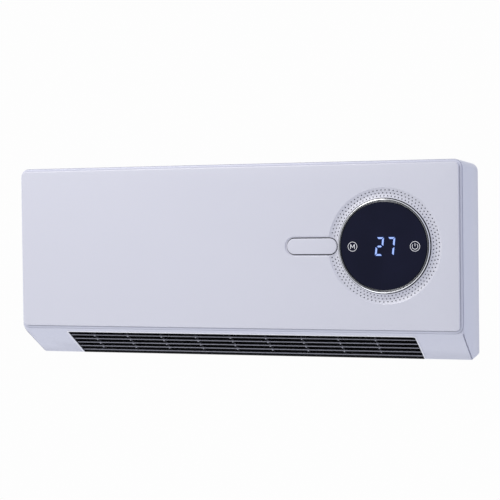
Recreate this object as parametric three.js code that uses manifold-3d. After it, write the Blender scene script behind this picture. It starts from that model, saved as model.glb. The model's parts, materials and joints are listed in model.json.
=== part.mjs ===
// Bathroom wall fan heater: a cross-flow rotor blows air down over a ceramic heating
// element and out through a sloping grille under the front face.
// Millimetres. +X is to the right seen from the front, -Y is the front, +Z is up.
// The wall is the plane y = 0, and the origin is the middle of the back.

import * as THREE from 'three';
import { mergeVertices } from 'three/addons/utils/BufferGeometryUtils.js';
import Module from 'manifold-3d';

const wasm = await Module();
wasm.setup();

// ---------------------------------------------------------------- driving dimensions

const fit = 0.3; // gap between pieces that touch
const runningFit = 0.1; // radial gap of a turning shaft
const over = 1; // how far a cutting solid runs past the face it cuts
const roundSteps = 16;
const smallSteps = 8;
const displaySteps = 28;

// casing
const caseWidth = 550;
const caseHeight = 228;
const caseDepth = 95; // wall to the front lip
const wall = 2.6;
const sideDraft = 2; // each side is this much narrower at the wall
const topDraft = 2;
const bottomDraft = 1;
const topCornerRadius = 10;
const bottomCornerRadius = 5;
const creaseRadius = 1.5;
const frontLowRadius = 5; // lower front corners, which run out into the crease
const frontLowRun = 10;
const frontEdgeRound = 1;

// sloping outlet face under the front
const outletRise = 33;
const outletRun = 53;
const outletSideMargin = 57.5;
const outletTopMargin = 7.5;
const outletBottomMargin = 1.2;

// lip round the front panel
const lipProud = 1.5;
const lipInset = 0.7;
const lipWidth = 2.5;
const lipRound = 0.6;
const frontWall = 2.4;
const panelRecess = 3.6;

// front panel
const seam = 0.8;
const panelProud = 3; // in front of the lip
const panelCorner = 5.2;
const panelThickness = 3.1;
const panelEdgeRound = 1;
const panelSkirt = 2.2;
const studRadius = 2.5;
const studLength = 8;
const studInset = 26;
const studHoleGap = 0.4;

// round display
const displayInset = 89.1; // from the casing's right-hand side
const displayRise = 1.2; // above the middle of the face
const dishRadius = 66;
const dishDepth = 2;
const dishSlope = 5;
const ringRadius = 54.2;
const ringHeight = 4.9;
const ringBand = 4;
const ringRound = 2.1;
const ringShoulder = 2.6; // the sleeve is this much smaller than the ring
const ringSleeve = 2;
const ringLedge = 2.6;
const ringLedgeThickness = 1.4;
const glassThickness = 3.2;
const glassEdge = 0.5;
const cupWall = 2;
const cupDepth = 17;
const cupFlange = 6.8;
const cupFlangeThickness = 2;
const cupLedge = 4;
const boardThickness = 1.6;
const displayBoardDepth = 8.5;
const digitBlockWidth = 36;
const digitBlockHeight = 28;
const touchPadRadius = 5;
const touchPadSpread = 36.3;

// pill-shaped push key beside the display
const keyLength = 60;
const keyHeight = 18;
const keyGapToRing = 1.2;
const keySeam = 0.5;
const keyProud = 0.3;
const keyEdgeRound = 0.8;
const keySurround = 2.7;
const keySurroundDepth = 1.1;
const keyFlange = 1.6;
const keyFlangeThickness = 1.2;
const keyTravel = 1.5;
const keyStemRadius = 3;
const keyStemLength = 3.4;
const plungerRadius = 2.9;
const plungerLength = 2.9;
const switchSize = 12;
const switchThickness = 4.4;
const switchBoardWidth = 22;
const switchLid = 0.2; // the case reaches this far past the plunger's end
const switchFloor = 0.6;
const keyWindowGap = 1; // room round the key's flange in the front wall
const switchPostRadius = 3.5;
const switchPegRadius = 1.4;

// outlet grille
const slatCount = 5;
const slatPitch = 9.7;
const firstSlat = 18.1; // down the slope from the front edge
const slatThickness = 1.3;
const slatDepth = 6.5; // the slats lie level
const slatSetback = 0.4;
const ribCount = 9;
const ribPitch = 44.4;
const ribShift = -9; // the row of ribs sits left of the middle
const ribThickness = 1.6;
const ribDepth = 6;
const ribSetback = 2.4;
const grilleFlange = 1.6;
const grilleFrame = 2;
const grilleLapTop = 4;
const grilleLapLow = 2;

// air intake in the top
const intakeSideMargin = 75;
const intakeFrontMargin = 11;
const intakeBack = -22;
const intakeFlange = 4;
const intakeFlangeThickness = 2.1;
const intakeSlotPitch = 16;
const intakeSlotWidth = 6;
const intakeSlotMargin = 4;
const intakeSetback = 0.4;

// cross-flow rotor
const rotorDrop = 78; // the rotor's axis under the top of the casing
const rotorFrontGap = 5;
const rotorEndGap = 3.5;
const bladeCount = 19;
const bladeThickness = 1;
const bladeChord = 6.4;
const bladeCamber = 1.5;
const bladeSweep = 0.2; // radians that a blade leads from root to tip
const rotorBays = 3;
const rotorDisc = 2.4;
const rotorRing = 1.4;
const rotorRingBore = 20;
const hubRadius = 7.5;
const hubLength = 12;
const shaftRadius = 3;
const shaftSetback = 2.5; // the shafts end this far short of the hubs' inner ends
const hubScrewRadius = 1.5;

// air duct
const ductWall = 1.8;
const ductSideGap = 2; // outlet end to the duct's end plate
const scrollGap = 3.5;
const scrollStart = 1.3; // radians above the rear of the rotor
const scrollStraight = 0.5; // share of the fall that keeps close to the wall
const scrollSweep = 0.27; // share of the fall that sweeps to the outlet
const tongueGap = 4;
const tongueAngle = 0.62; // radians below the front of the rotor
const ductFrontBay = 19; // room for the display and the switch behind the front wall
const ductRearGap = 1.1;
const ductEndMargin = 1.3;
const ductEndRise = 8; // the end plates reach this far above the rotor
const ductTopMargin = 5.5; // front wall's low end, down the slope from the front edge

// fan motor and far bearing
const motorRearGap = 4.4;
const motorLength = 33;
const motorRound = 4;
const motorShaftDepth = 20;
const motorEar = 7;
const motorEarThickness = 2;
const motorBossLength = 5.5;
const motorScrewGap = 6; // screw axis outside the can
const bearingRadius = 6;
const bearingLength = 8;
const bearingHolderRadius = 11;
const bearingHolderLip = 3.4;
const bearingHolderPlug = 1.5; // reach into the duct
const bearingHolderRim = 3; // outer face of the lip
const bearingHolderNose = 5;
const endPinGap = 3; // the pin stops this far short of the bush's end

// ceramic heating element
const heaterDrop = 39; // top of the element under the rotor's axis
const heaterHeight = 26;
const heaterFrontGap = 3;
const heaterRearGap = 4.8;
const finRows = 3;
const finPitch = 20;
const finSheet = 0.6;
const barThickness = 5;
const heaterHolderLength = 14;
const heaterHolderWall = 1.6;
const finMargin = 1; // the fins are this much lower than the holders, top and bottom
const barMargin = 1.5;
const tabThickness = 0.8;
const tabWidth = 6.3;
const tabReach = 12;
const tabSlotGap = 1.5; // room round a tab in the duct's end plate
const thermostatInset = 55; // from the left end of the fins
const thermostatRadius = 8;
const thermostatHeight = 9;
const thermostatFlange = 3;
const fuseGap = 30; // fuse to thermostat
const fuseRadius = 2.2;
const fuseLength = 18;

// electrics in the right-hand bay
const bayInset = 29; // middle of the bay from the casing's right-hand side
const powerBoardWidth = 40;
const powerBoardTopMargin = 30;
const powerBoardLowMargin = 46;
const powerBoardGap = 6.8;
const standoffRadius = 4;
const boardScrewLength = 7;
const standoffMargin = 9;
const relayWidth = 16;
const relayLength = 20;
const relayHeight = 15;
const relayPitch = 24;
const relayDrop = 28; // middle of the upper relay under the board's top
const capacitorRadius = 8;
const capacitorLength = 24;
const capacitorDrop = 82;
const terminalWidth = 32;
const terminalHeight = 14;
const terminalDepth = 16;
const terminalRise = 26; // middle of the terminals above the board's low end
const terminalWellRadius = 3;
const terminalWellFloor = 3;
const cordHoleRadius = 4.5;
const cordBushWall = 2.4;
const cordBushFlange = 1.8;
const cordBushFlangeThickness = 2;
const cordHoleY = -20;
const leadRadius = 1.5;

// rear cover and its screws
const coverThickness = 2.6;
const bossRadius = 4.5;
const bossInset = 12;
const bossMidX = 90; // middle screws of the top edge
const screwRadius = 1.6;
const screwHeadRadius = 3.4;
const screwHeadHeight = 1.2;
const screwLength = 12;
const keyholeX = 150;
const keyholeDrop = 36;
const keyholeRadius = 5.2;
const keyholeSlot = 5.6;
const keyholeRise = 14;

// ---------------------------------------------------------------- places worked out

const halfWidth = caseWidth / 2;
const halfHeight = caseHeight / 2;
const frontY = -(caseDepth - lipProud); // front edge of the casing behind the lip
const slopeLength = Math.hypot(outletRise, outletRun);
const slopeAngle = Math.atan2(outletRise, outletRun);
const slopeDegrees = slopeAngle * 180 / Math.PI;
const slopeTopZ = -halfHeight + outletRise;
const displayZ = (halfHeight + slopeTopZ) / 2 + displayRise;
const recessY = -caseDepth + panelRecess; // floor that the front panel seats on
const cavityFrontY = recessY + frontWall;
const panelFrontY = -(caseDepth + panelProud);
const panelBackY = panelFrontY + panelThickness;
const panelInset = lipInset + lipWidth + seam;
const lipCorner = topCornerRadius - lipInset;
const dishFloorY = panelFrontY + dishDepth;
const sleeveOuter = ringRadius - ringShoulder;
const panelHoleRadius = sleeveOuter + fit;
const glassRadius = ringRadius - ringBand - fit;
const glassFrontY = dishFloorY + fit - ringHeight;
const cupRadius = sleeveOuter - ringSleeve - fit;
const displayX = halfWidth - displayInset;
const keyX = displayX - ringRadius - keyGapToRing - keyLength / 2;
const keyFrontY = panelFrontY - keyProud;
const cavityBackY = -coverThickness - fit;
const outletHalfWidth = halfWidth - outletSideMargin;
const intakeHalfWidth = halfWidth - intakeSideMargin;
const intakeFront = cavityFrontY + intakeFrontMargin;
const keyholeZ = halfHeight - keyholeDrop;

const ductHalfWidth = outletHalfWidth + ductSideGap;
const ductFrontY = cavityFrontY + ductFrontBay;
const rotorRearY = -(coverThickness + ductRearGap + ductWall + scrollGap);
const rotorFrontY = ductFrontY + rotorFrontGap;
const rotorRadius = (rotorRearY - rotorFrontY) / 2;
const rotorY = (rotorRearY + rotorFrontY) / 2;
const rotorZ = halfHeight - rotorDrop;
const rotorHalf = ductHalfWidth - rotorEndGap;
const motorRadius = -rotorY - coverThickness - motorRearGap;
const motorScrewSpread = motorRadius + motorScrewGap;

const heaterTopZ = rotorZ - heaterDrop;
const heaterFrontY = ductFrontY + heaterFrontGap;
const heaterBackY = rotorRearY - heaterRearGap;
const finDepth = (heaterBackY - heaterFrontY - (finRows - 1) * (barThickness + 2 * fit)) / finRows;

const bayX = halfWidth - bayInset;
const powerBoardTop = halfHeight - powerBoardTopMargin;
const powerBoardBottom = -halfHeight + powerBoardLowMargin;
const powerBoardY = -coverThickness - powerBoardGap;
const terminalZ = powerBoardBottom + terminalRise;

const slopeZ = (y) => slopeTopZ - (y - frontY) * outletRise / outletRun;
const topZ = (y) => halfHeight - topDraft * (1 + y / caseDepth);
const sideX = (y) => halfWidth - sideDraft * (1 + y / caseDepth);
const floorZ = (y) => -halfHeight + bottomDraft * Math.max(0, 1 + y / (caseDepth - outletRun - lipProud));

// a point on the outlet slope: distance down the slope, and distance inwards from it
function slopePoint(down, inwards) {
  const y = frontY + down * Math.cos(slopeAngle) + inwards * Math.sin(slopeAngle);
  const z = slopeTopZ - down * Math.sin(slopeAngle) + inwards * Math.cos(slopeAngle);
  return new THREE.Vector2(y, z);
}

// ---------------------------------------------------------------- shaping helpers

function signedVolume(position, index) {
  const [a, b, c] = [new THREE.Vector3(), new THREE.Vector3(), new THREE.Vector3()];
  let volume = 0;
  for (let i = 0; i < index.length; i += 3) {
    a.fromBufferAttribute(position, index[i]);
    b.fromBufferAttribute(position, index[i + 1]);
    c.fromBufferAttribute(position, index[i + 2]);
    volume += a.dot(b.cross(c));
  }
  return volume / 6;
}

// welds a closed geometry, drops its collapsed triangles and turns its faces outwards
function solid(geometry) {
  const bare = new THREE.BufferGeometry();
  bare.setAttribute('position', geometry.getAttribute('position'));
  bare.setIndex(geometry.getIndex());
  const welded = mergeVertices(bare);
  const position = welded.getAttribute('position');
  const all = welded.getIndex().array;
  const kept = [];
  for (let i = 0; i < all.length; i += 3) {
    const [a, b, c] = [all[i], all[i + 1], all[i + 2]];
    if (a !== b && b !== c && c !== a) kept.push(a, b, c);
  }
  if (signedVolume(position, kept) < 0) kept.reverse();
  return new wasm.Manifold(new wasm.Mesh({
    numProp: 3,
    vertProperties: new Float32Array(position.array),
    triVerts: new Uint32Array(kept),
  }));
}

function union(solids) {
  return solids.reduce((joined, next) => joined.add(next));
}

function geometryOf(body) {
  const mesh = body.getMesh();
  const geometry = new THREE.BufferGeometry();
  geometry.setAttribute('position', new THREE.BufferAttribute(mesh.vertProperties, 3));
  geometry.setIndex(new THREE.BufferAttribute(mesh.triVerts, 1));
  geometry.computeVertexNormals();
  return geometry;
}

// views: local Z runs towards +X, the viewer, the wall and up
const sideView = new THREE.Matrix4().makeBasis(
  new THREE.Vector3(0, 1, 0), new THREE.Vector3(0, 0, 1), new THREE.Vector3(1, 0, 0));
const frontView = new THREE.Matrix4().makeRotationX(Math.PI / 2);
const wallView = new THREE.Matrix4().makeRotationX(-Math.PI / 2);
const lookDown = new THREE.Matrix4();

// extrudes a shape drawn in a view from one depth to another
function prism(view, shape, from, to, curveSegments = 6) {
  const depth = Math.abs(to - from);
  const geometry = new THREE.ExtrudeGeometry(shape, { depth, bevelEnabled: false, curveSegments });
  geometry.translate(0, 0, Math.min(from, to));
  geometry.applyMatrix4(view);
  return solid(geometry);
}

const alongX = (shape, x0, x1) => prism(sideView, shape, x0, x1);
const alongY = (shape, y0, y1, steps) => prism(frontView, shape, -y0, -y1, steps);
const alongZ = (shape, z0, z1) => prism(lookDown, shape, z0, z1);

function box(x0, x1, y0, y1, z0, z1) {
  const geometry = new THREE.BoxGeometry(Math.abs(x1 - x0), Math.abs(y1 - y0), Math.abs(z1 - z0));
  geometry.translate((x0 + x1) / 2, (y0 + y1) / 2, (z0 + z1) / 2);
  return solid(geometry);
}

// revolves a profile of [radius, height] pairs about local Z; a bored profile is closed here
function revolve(profile, bored = false, steps = roundSteps) {
  const points = profile.map(([radius, height]) => new THREE.Vector2(radius, height));
  if (bored) points.push(points[0].clone());
  const geometry = new THREE.LatheGeometry(points, steps);
  geometry.rotateX(Math.PI / 2);
  return solid(geometry);
}

function rod(radius, z0, z1, steps = roundSteps) {
  return revolve([[0, z0], [radius, z0], [radius, z1], [0, z1]], false, steps);
}

function turned(body, view, x = 0, y = 0, z = 0) {
  const matrix = view.clone().setPosition(x, y, z);
  return body.transform(matrix.elements);
}

function roundedShape(x0, x1, y0, y1, radius) {
  const shape = new THREE.Shape();
  shape.moveTo(x0 + radius, y0);
  shape.lineTo(x1 - radius, y0);
  shape.absarc(x1 - radius, y0 + radius, radius, -Math.PI / 2, 0);
  shape.lineTo(x1, y1 - radius);
  shape.absarc(x1 - radius, y1 - radius, radius, 0, Math.PI / 2);
  shape.lineTo(x0 + radius, y1);
  shape.absarc(x0 + radius, y1 - radius, radius, Math.PI / 2, Math.PI);
  shape.lineTo(x0, y0 + radius);
  shape.absarc(x0 + radius, y0 + radius, radius, Math.PI, 1.5 * Math.PI);
  return shape;
}

function circleShape(x, y, radius, steps = roundSteps) {
  const circle = new THREE.EllipseCurve(x, y, radius, radius);
  return new THREE.Shape(circle.getPoints(steps).slice(0, -1));
}

function pillShape(x, y, length, height) {
  return roundedShape(x - length / 2, x + length / 2, y - height / 2, y + height / 2, height / 2 - 0.01);
}

function polygon(points) {
  return new THREE.Shape(points.map(([x, y]) => new THREE.Vector2(x, y)));
}

// skins a stack of closed rings that have the same number of points, and caps both ends
function loft(rings) {
  const count = rings[0].length;
  const positions = rings.flat().flatMap((point) => [point.x, point.y, point.z]);
  const index = [];
  for (let r = 0; r < rings.length - 1; r += 1) {
    for (let i = 0; i < count; i += 1) {
      const a = r * count + i;
      const b = r * count + (i + 1) % count;
      index.push(a, b, b + count, a, b + count, a + count);
    }
  }
  const last = (rings.length - 1) * count;
  for (let i = 1; i < count - 1; i += 1) {
    index.push(0, i + 1, i);
    index.push(last, last + i, last + i + 1);
  }
  const geometry = new THREE.BufferGeometry();
  geometry.setAttribute('position', new THREE.Float32BufferAttribute(positions, 3));
  geometry.setIndex(index);
  return solid(geometry);
}

// a ring in a plane y = const with two top and two bottom corner radii
function frontRing(y, half, top, bottom, topRadius, lowRadius, steps = 4) {
  const corners = [
    [half - lowRadius, bottom + lowRadius, lowRadius, -Math.PI / 2],
    [half - topRadius, top - topRadius, topRadius, 0],
    [-half + topRadius, top - topRadius, topRadius, Math.PI / 2],
    [-half + lowRadius, bottom + lowRadius, lowRadius, Math.PI],
  ];
  const ring = [];
  for (const [x, z, radius, start] of corners) {
    for (let i = 0; i <= steps; i += 1) {
      const angle = start + (i / steps) * Math.PI / 2;
      ring.push(new THREE.Vector3(x + radius * Math.cos(angle), y, z + radius * Math.sin(angle)));
    }
  }
  return ring;
}

// thickens a line drawn in the side view by the given distance to its left
function thickened(points, thickness) {
  const shifted = points.map((point, i) => {
    const before = points[Math.max(0, i - 1)];
    const after = points[Math.min(points.length - 1, i + 1)];
    const along = after.clone().sub(before).normalize();
    return new THREE.Vector2(point.x - along.y * thickness, point.y + along.x * thickness);
  });
  return new THREE.Shape([...points, ...shifted.reverse()]);
}

function tube(points, radius, steps, sides) {
  const path = new THREE.CatmullRomCurve3(points.map(([x, y, z]) => new THREE.Vector3(x, y, z)));
  const section = circleShape(0, 0, radius, sides);
  const geometry = new THREE.ExtrudeGeometry(section, { steps, extrudePath: path, bevelEnabled: false });
  return solid(geometry);
}

// ---------------------------------------------------------------- materials

const plastic = (color, roughness) => new THREE.MeshStandardMaterial({ color, roughness, metalness: 0 });
const metal = (color, roughness) => new THREE.MeshStandardMaterial({ color, roughness, metalness: 1 });

const whiteCasing = plastic(0xd9d8e2, 0.32);
const whitePanel = plastic(0xdad9e3, 0.22);
const greyGrille = plastic(0x6f6f78, 0.45);
const darkMoulding = plastic(0x2b2b30, 0.6);
const chrome = metal(0xd8dade, 0.12);
const blackGlass = plastic(0x0b0d18, 0.05);
const boardGreen = plastic(0x1f5a38, 0.5);
const partWhite = plastic(0xe8e8e2, 0.5);
const relayBlue = plastic(0x2f5fae, 0.45);
const blackPlastic = plastic(0x17171a, 0.55);
const rubber = plastic(0x232326, 0.85);
const aluminium = metal(0xb9bcc2, 0.4);
const steel = metal(0x9a9ca2, 0.35);
const bronze = metal(0xa97b42, 0.4);
const redSleeve = plastic(0xa8322a, 0.55);
const blueSleeve = plastic(0x2c4d9c, 0.55);

const heater = new THREE.Group();

function addPart(parent, name, body, material) {
  const mesh = new THREE.Mesh(geometryOf(body), material);
  mesh.name = name;
  parent.add(mesh);
  return mesh;
}

// ---------------------------------------------------------------- casing

// outline of the casing at a depth, inset by a wall thickness
function caseRing(y, inset, topRadius, lowRadius) {
  const slope = slopeZ(y) + inset / Math.cos(slopeAngle);
  const bottom = Math.max(floorZ(y) + inset, slope);
  return frontRing(y, sideX(y) - inset, topZ(y) - inset, bottom, topRadius, lowRadius);
}

function caseOuter() {
  const kneeY = frontY + outletRun;
  const easedRadius = creaseRadius + (frontLowRadius - creaseRadius) * 0.3;
  return loft([
    caseRing(0, 0, topCornerRadius, bottomCornerRadius),
    caseRing(kneeY, 0, topCornerRadius, creaseRadius * 1.2),
    caseRing(frontY + frontLowRun, 0, topCornerRadius, creaseRadius),
    caseRing(frontY + frontLowRun * 0.45, 0, topCornerRadius, easedRadius),
    caseRing(frontY + frontEdgeRound, 0, topCornerRadius, frontLowRadius),
    caseRing(frontY, frontEdgeRound, topCornerRadius - frontEdgeRound, frontLowRadius - frontEdgeRound),
  ]);
}

function caseCavity() {
  const rise = outletRise - wall + wall / Math.cos(slopeAngle);
  const kneeY = frontY + rise * outletRun / outletRise;
  const corner = topCornerRadius - wall;
  const lowCorner = bottomCornerRadius - wall;
  return loft([
    caseRing(1, wall, corner, lowCorner),
    caseRing(kneeY, wall, corner, creaseRadius),
    caseRing(cavityFrontY, wall, corner, creaseRadius),
  ]);
}

function lipBlock() {
  const half = halfWidth - lipInset;
  const top = halfHeight - lipInset;
  const bottom = slopeTopZ + lipInset;
  const small = lipCorner - lipRound;
  return loft([
    frontRing(recessY, half, top, bottom, lipCorner, lipCorner),
    frontRing(-caseDepth + lipRound, half, top, bottom, lipCorner, lipCorner),
    frontRing(-caseDepth, half - lipRound, top - lipRound, bottom + lipRound, small, small),
  ]);
}

// the pocket that the front panel drops into
function panelPocket() {
  const inset = lipInset + lipWidth;
  const corner = panelCorner + seam;
  const half = halfWidth - inset;
  return loft([
    frontRing(recessY, half, halfHeight - inset, slopeTopZ + inset, corner, corner),
    frontRing(-caseDepth - over, half, halfHeight - inset, slopeTopZ + inset, corner, corner),
  ]);
}

// outlet cut through the slope, square to it, from its top margin to the lower edge
function outletCut() {
  const top = outletTopMargin;
  const low = slopeLength - outletBottomMargin;
  const near = -2 * wall;
  const depth = wall + over;
  const corners = [[top, near], [low, near], [low, depth], [top, depth]].map(([down, inwards]) => {
    return slopePoint(down, inwards);
  });
  return alongX(new THREE.Shape(corners), -outletHalfWidth, outletHalfWidth);
}

function intakeCut() {
  const low = halfHeight - topDraft - 2 * wall;
  return box(-intakeHalfWidth, intakeHalfWidth, intakeFront, intakeBack, low, halfHeight + over);
}

const coverBosses = [];
for (const x of [-1, 1]) {
  coverBosses.push([x * (halfWidth - bossInset - sideDraft), halfHeight - bossInset - wall]);
  coverBosses.push([x * bossMidX, halfHeight - bossInset]);
  coverBosses.push([x * (halfWidth - bossInset - sideDraft), -halfHeight + bossInset + wall]);
}

const studPlaces = [];
for (const x of [-1, 1]) {
  for (const z of [halfHeight - studInset, slopeTopZ + studInset]) {
    studPlaces.push([x * (halfWidth - studInset), z]);
  }
}

function caseBosses(outer) {
  const posts = coverBosses.map(([x, z]) => {
    const bored = rod(bossRadius, 0, cavityBackY - cavityFrontY + over, smallSteps)
      .subtract(rod(screwRadius + fit, -over, screwLength + over, smallSteps));
    return turned(bored, frontView, x, cavityBackY, z);
  });
  return union(posts).intersect(outer);
}

// two pegged posts behind the front wall carry the key's switch board
function switchPosts() {
  const boardFrontY = switchFrontY + switchThickness + fit;
  const reach = boardFrontY - fit - cavityFrontY;
  const peg = reach + fit + boardThickness + over;
  const posts = [-1, 1].map((side) => {
    const post = rod(switchPostRadius, -over / 2, reach, smallSteps)
      .add(rod(switchPegRadius, 0, peg, smallSteps));
    return turned(post, wallView, keyX, cavityFrontY, displayZ + side * switchPostSpread);
  });
  return union(posts);
}

const keyFlangeY = panelBackY + fit;
const keyStemEndY = keyFlangeY + keyFlangeThickness + keyStemLength;
const plungerEndY = keyStemEndY + fit + plungerLength;
const switchFrontY = keyStemEndY + fit + keyTravel - switchLid;
const keyWindowHeight = keyHeight + 2 * (keyFlange + keyWindowGap);
const switchPostSpread = keyWindowHeight / 2 + switchPostRadius + fit;

function housingShell() {
  const outer = caseOuter();
  let shell = outer.add(lipBlock()).subtract(caseCavity());
  shell = shell.add(caseBosses(outer));
  shell = shell.subtract(panelPocket());
  shell = shell.subtract(outletCut());
  shell = shell.subtract(intakeCut());
  const frontHoles = [
    circleShape(displayX, displayZ, cupRadius + fit, displaySteps),
    pillShape(keyX, displayZ, keyWindowHeight + keyLength - keyHeight, keyWindowHeight),
    ...studPlaces.map(([x, z]) => circleShape(x, z, studRadius + studHoleGap, smallSteps)),
  ];
  for (const hole of frontHoles) {
    shell = shell.subtract(alongY(hole, recessY - over, cavityFrontY + over, 4));
  }
  const cordHole = circleShape(bayX, cordHoleY, cordHoleRadius + cordBushWall + fit);
  shell = shell.subtract(alongZ(cordHole, -halfHeight - over, -halfHeight + bottomDraft + wall + over));
  return shell.add(switchPosts());
}

// ---------------------------------------------------------------- front panel

function panelBlock() {
  const at = (y, inset) => {
    const corner = panelCorner - (inset - panelInset);
    return frontRing(y, halfWidth - inset, halfHeight - inset, slopeTopZ + inset, corner, corner);
  };
  return loft([
    at(recessY - fit, panelInset),
    at(panelFrontY + panelEdgeRound, panelInset),
    at(panelFrontY + panelEdgeRound * 0.3, panelInset + panelEdgeRound * 0.3),
    at(panelFrontY, panelInset + panelEdgeRound),
  ]);
}

function panelHollow() {
  const inset = panelInset + panelSkirt;
  const half = halfWidth - inset;
  const corner = topCornerRadius / 3;
  const hollow = loft([
    frontRing(recessY + over, half, halfHeight - inset, slopeTopZ + inset, corner, corner),
    frontRing(panelBackY, half, halfHeight - inset, slopeTopZ + inset, corner, corner),
  ]);
  const pad = rod(dishRadius + wall, 0, caseDepth + recessY + 2 * over, displaySteps);
  return hollow.subtract(turned(pad, frontView, displayX, recessY + 2 * over, displayZ));
}

// the round dish that the display stands in, with a curved outer slope
function displayDish() {
  const cut = revolve([
    [0, dishDepth + over], [dishRadius, dishDepth + over], [dishRadius, dishDepth],
    [dishRadius - dishSlope * 0.4, dishDepth * 0.45], [dishRadius - dishSlope, dishDepth * 0.12],
    [dishRadius - dishSlope * 1.6, 0], [0, 0],
  ], false, displaySteps);
  return turned(cut, frontView, displayX, dishFloorY, displayZ);
}

// a pill-shaped ring round the key's middle
function keyRing(y, length, height) {
  const steps = 8;
  const radius = height / 2;
  const ring = [];
  for (const [x, start] of [[length / 2 - radius, -Math.PI / 2], [-length / 2 + radius, Math.PI / 2]]) {
    for (let i = 0; i <= steps; i += 1) {
      const angle = start + (i / steps) * Math.PI;
      const z = displayZ + radius * Math.sin(angle);
      ring.push(new THREE.Vector3(keyX + x + radius * Math.cos(angle), y, z));
    }
  }
  return ring;
}

function keySurroundCut() {
  const grow = 2 * keySurround;
  const floor = 3 * keySeam;
  return loft([
    keyRing(panelFrontY - over, keyLength + grow, keyHeight + grow),
    keyRing(panelFrontY, keyLength + grow, keyHeight + grow),
    keyRing(panelFrontY + keySurroundDepth, keyLength + floor, keyHeight + floor),
  ]);
}

// a cutter round the key that runs from a depth out through the back of the panel
function keyHole(from, gap) {
  return loft([from, recessY + over].map((y) => keyRing(y, keyLength + 2 * gap, keyHeight + 2 * gap)));
}

function frontPanel() {
  let panel = panelBlock().subtract(panelHollow());
  panel = panel.subtract(displayDish());
  const displayHole = circleShape(displayX, displayZ, panelHoleRadius, displaySteps);
  panel = panel.subtract(alongY(displayHole, recessY + over, panelFrontY - over));
  panel = panel.subtract(keySurroundCut());
  panel = panel.subtract(keyHole(panelFrontY - over, keySeam));
  panel = panel.subtract(keyHole(panelBackY, keyFlange + 2 * fit));
  const studs = studPlaces.map(([x, z]) => {
    return turned(rod(studRadius, 0, studLength, smallSteps), frontView, x, panelBackY + studLength - fit, z);
  });
  return panel.add(union(studs));
}

// ---------------------------------------------------------------- round display

// local frame of the display: Z towards the viewer, zero at the dish floor
const displayGroup = new THREE.Group();
displayGroup.position.set(displayX, dishFloorY, displayZ);
displayGroup.rotation.x = Math.PI / 2;

const ledgeFront = dishFloorY - glassFrontY - glassThickness - fit;
const ledgeBack = ledgeFront - ringLedgeThickness;
const sleeveBack = dishFloorY - recessY + fit;

function chromeRing() {
  const inner = ringRadius - ringBand;
  return revolve([
    [ringRadius, fit],
    [ringRadius - ringRound * 0.15, ringHeight * 0.45],
    [ringRadius - ringRound * 0.5, ringHeight * 0.8],
    [ringRadius - ringRound, ringHeight],
    [inner, ringHeight],
    [inner, ledgeFront],
    [inner - ringLedge, ledgeFront],
    [inner - ringLedge, ledgeBack],
    [sleeveOuter - ringSleeve, ledgeBack],
    [sleeveOuter - ringSleeve, sleeveBack],
    [sleeveOuter, sleeveBack],
    [sleeveOuter, fit],
  ], true, displaySteps);
}

function displayGlass() {
  const front = ledgeFront + fit + glassThickness;
  return revolve([
    [0, ledgeFront + fit], [glassRadius, ledgeFront + fit], [glassRadius, front - glassEdge],
    [glassRadius - glassEdge, front], [0, front],
  ], false, displaySteps);
}

const cupFront = ledgeBack - fit;
const cupBack = cupFront - cupDepth;
const cupFlangeFront = dishFloorY - cavityFrontY - fit;
const boardBack = cupFront - displayBoardDepth - boardThickness;
const boardFront = boardBack + boardThickness;
const cupBore = cupRadius - cupWall;
const boardRadius = cupBore - fit;

function displayCup() {
  const ledge = cupBore - cupLedge;
  const flange = cupRadius + cupFlange;
  const flangeBack = cupFlangeFront - cupFlangeThickness;
  return revolve([
    [0, cupBack], [cupRadius, cupBack], [cupRadius, flangeBack], [flange, flangeBack],
    [flange, cupFlangeFront], [cupRadius, cupFlangeFront], [cupRadius, cupFront], [cupBore, cupFront],
    [cupBore, boardBack - fit], [ledge, boardBack - fit], [ledge, cupBack + cupWall], [0, cupBack + cupWall],
  ], false, displaySteps);
}

function onBoard(shape) {
  return prism(lookDown, shape, boardFront + fit, ledgeFront, 2);
}

function buildDisplay() {
  addPart(displayGroup, 'chrome_ring', chromeRing(), chrome);
  addPart(displayGroup, 'display_glass', displayGlass(), blackGlass);
  addPart(displayGroup, 'display_cup', displayCup(), darkMoulding);
  addPart(displayGroup, 'display_board', rod(boardRadius, boardBack, boardFront, displaySteps), boardGreen);
  const [w, h] = [digitBlockWidth / 2, digitBlockHeight / 2];
  addPart(displayGroup, 'digit_block', onBoard(roundedShape(-w, w, -h, h, 1)), blackPlastic);
  addPart(displayGroup, 'touch_pad_mode', onBoard(circleShape(-touchPadSpread, 0, touchPadRadius)), rubber);
  addPart(displayGroup, 'touch_pad_power', onBoard(circleShape(touchPadSpread, 0, touchPadRadius)), rubber);
  heater.add(displayGroup);
}

// ---------------------------------------------------------------- push key

function pillKey() {
  const at = (depth, inset) => keyRing(depth, keyLength - 2 * inset, keyHeight - 2 * inset);
  const cap = loft([
    at(keyFlangeY, 0),
    at(keyFrontY + keyEdgeRound, 0),
    at(keyFrontY + keyEdgeRound * 0.3, keyEdgeRound * 0.3),
    at(keyFrontY, keyEdgeRound),
  ]);
  const flange = loft([at(keyFlangeY, -keyFlange), at(keyFlangeY + keyFlangeThickness, -keyFlange)]);
  const stem = rod(keyStemRadius, 0, keyStemLength + keyFlangeThickness);
  return cap.add(flange).add(turned(stem, frontView, keyX, keyStemEndY, displayZ));
}

function switchCase() {
  const half = switchSize / 2;
  const back = switchFrontY + switchThickness;
  const body = box(keyX - half, keyX + half, switchFrontY, back, displayZ - half, displayZ + half);
  const bore = rod(plungerRadius + fit, switchFloor, switchThickness + over);
  return body.subtract(turned(bore, frontView, keyX, back, displayZ));
}

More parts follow.
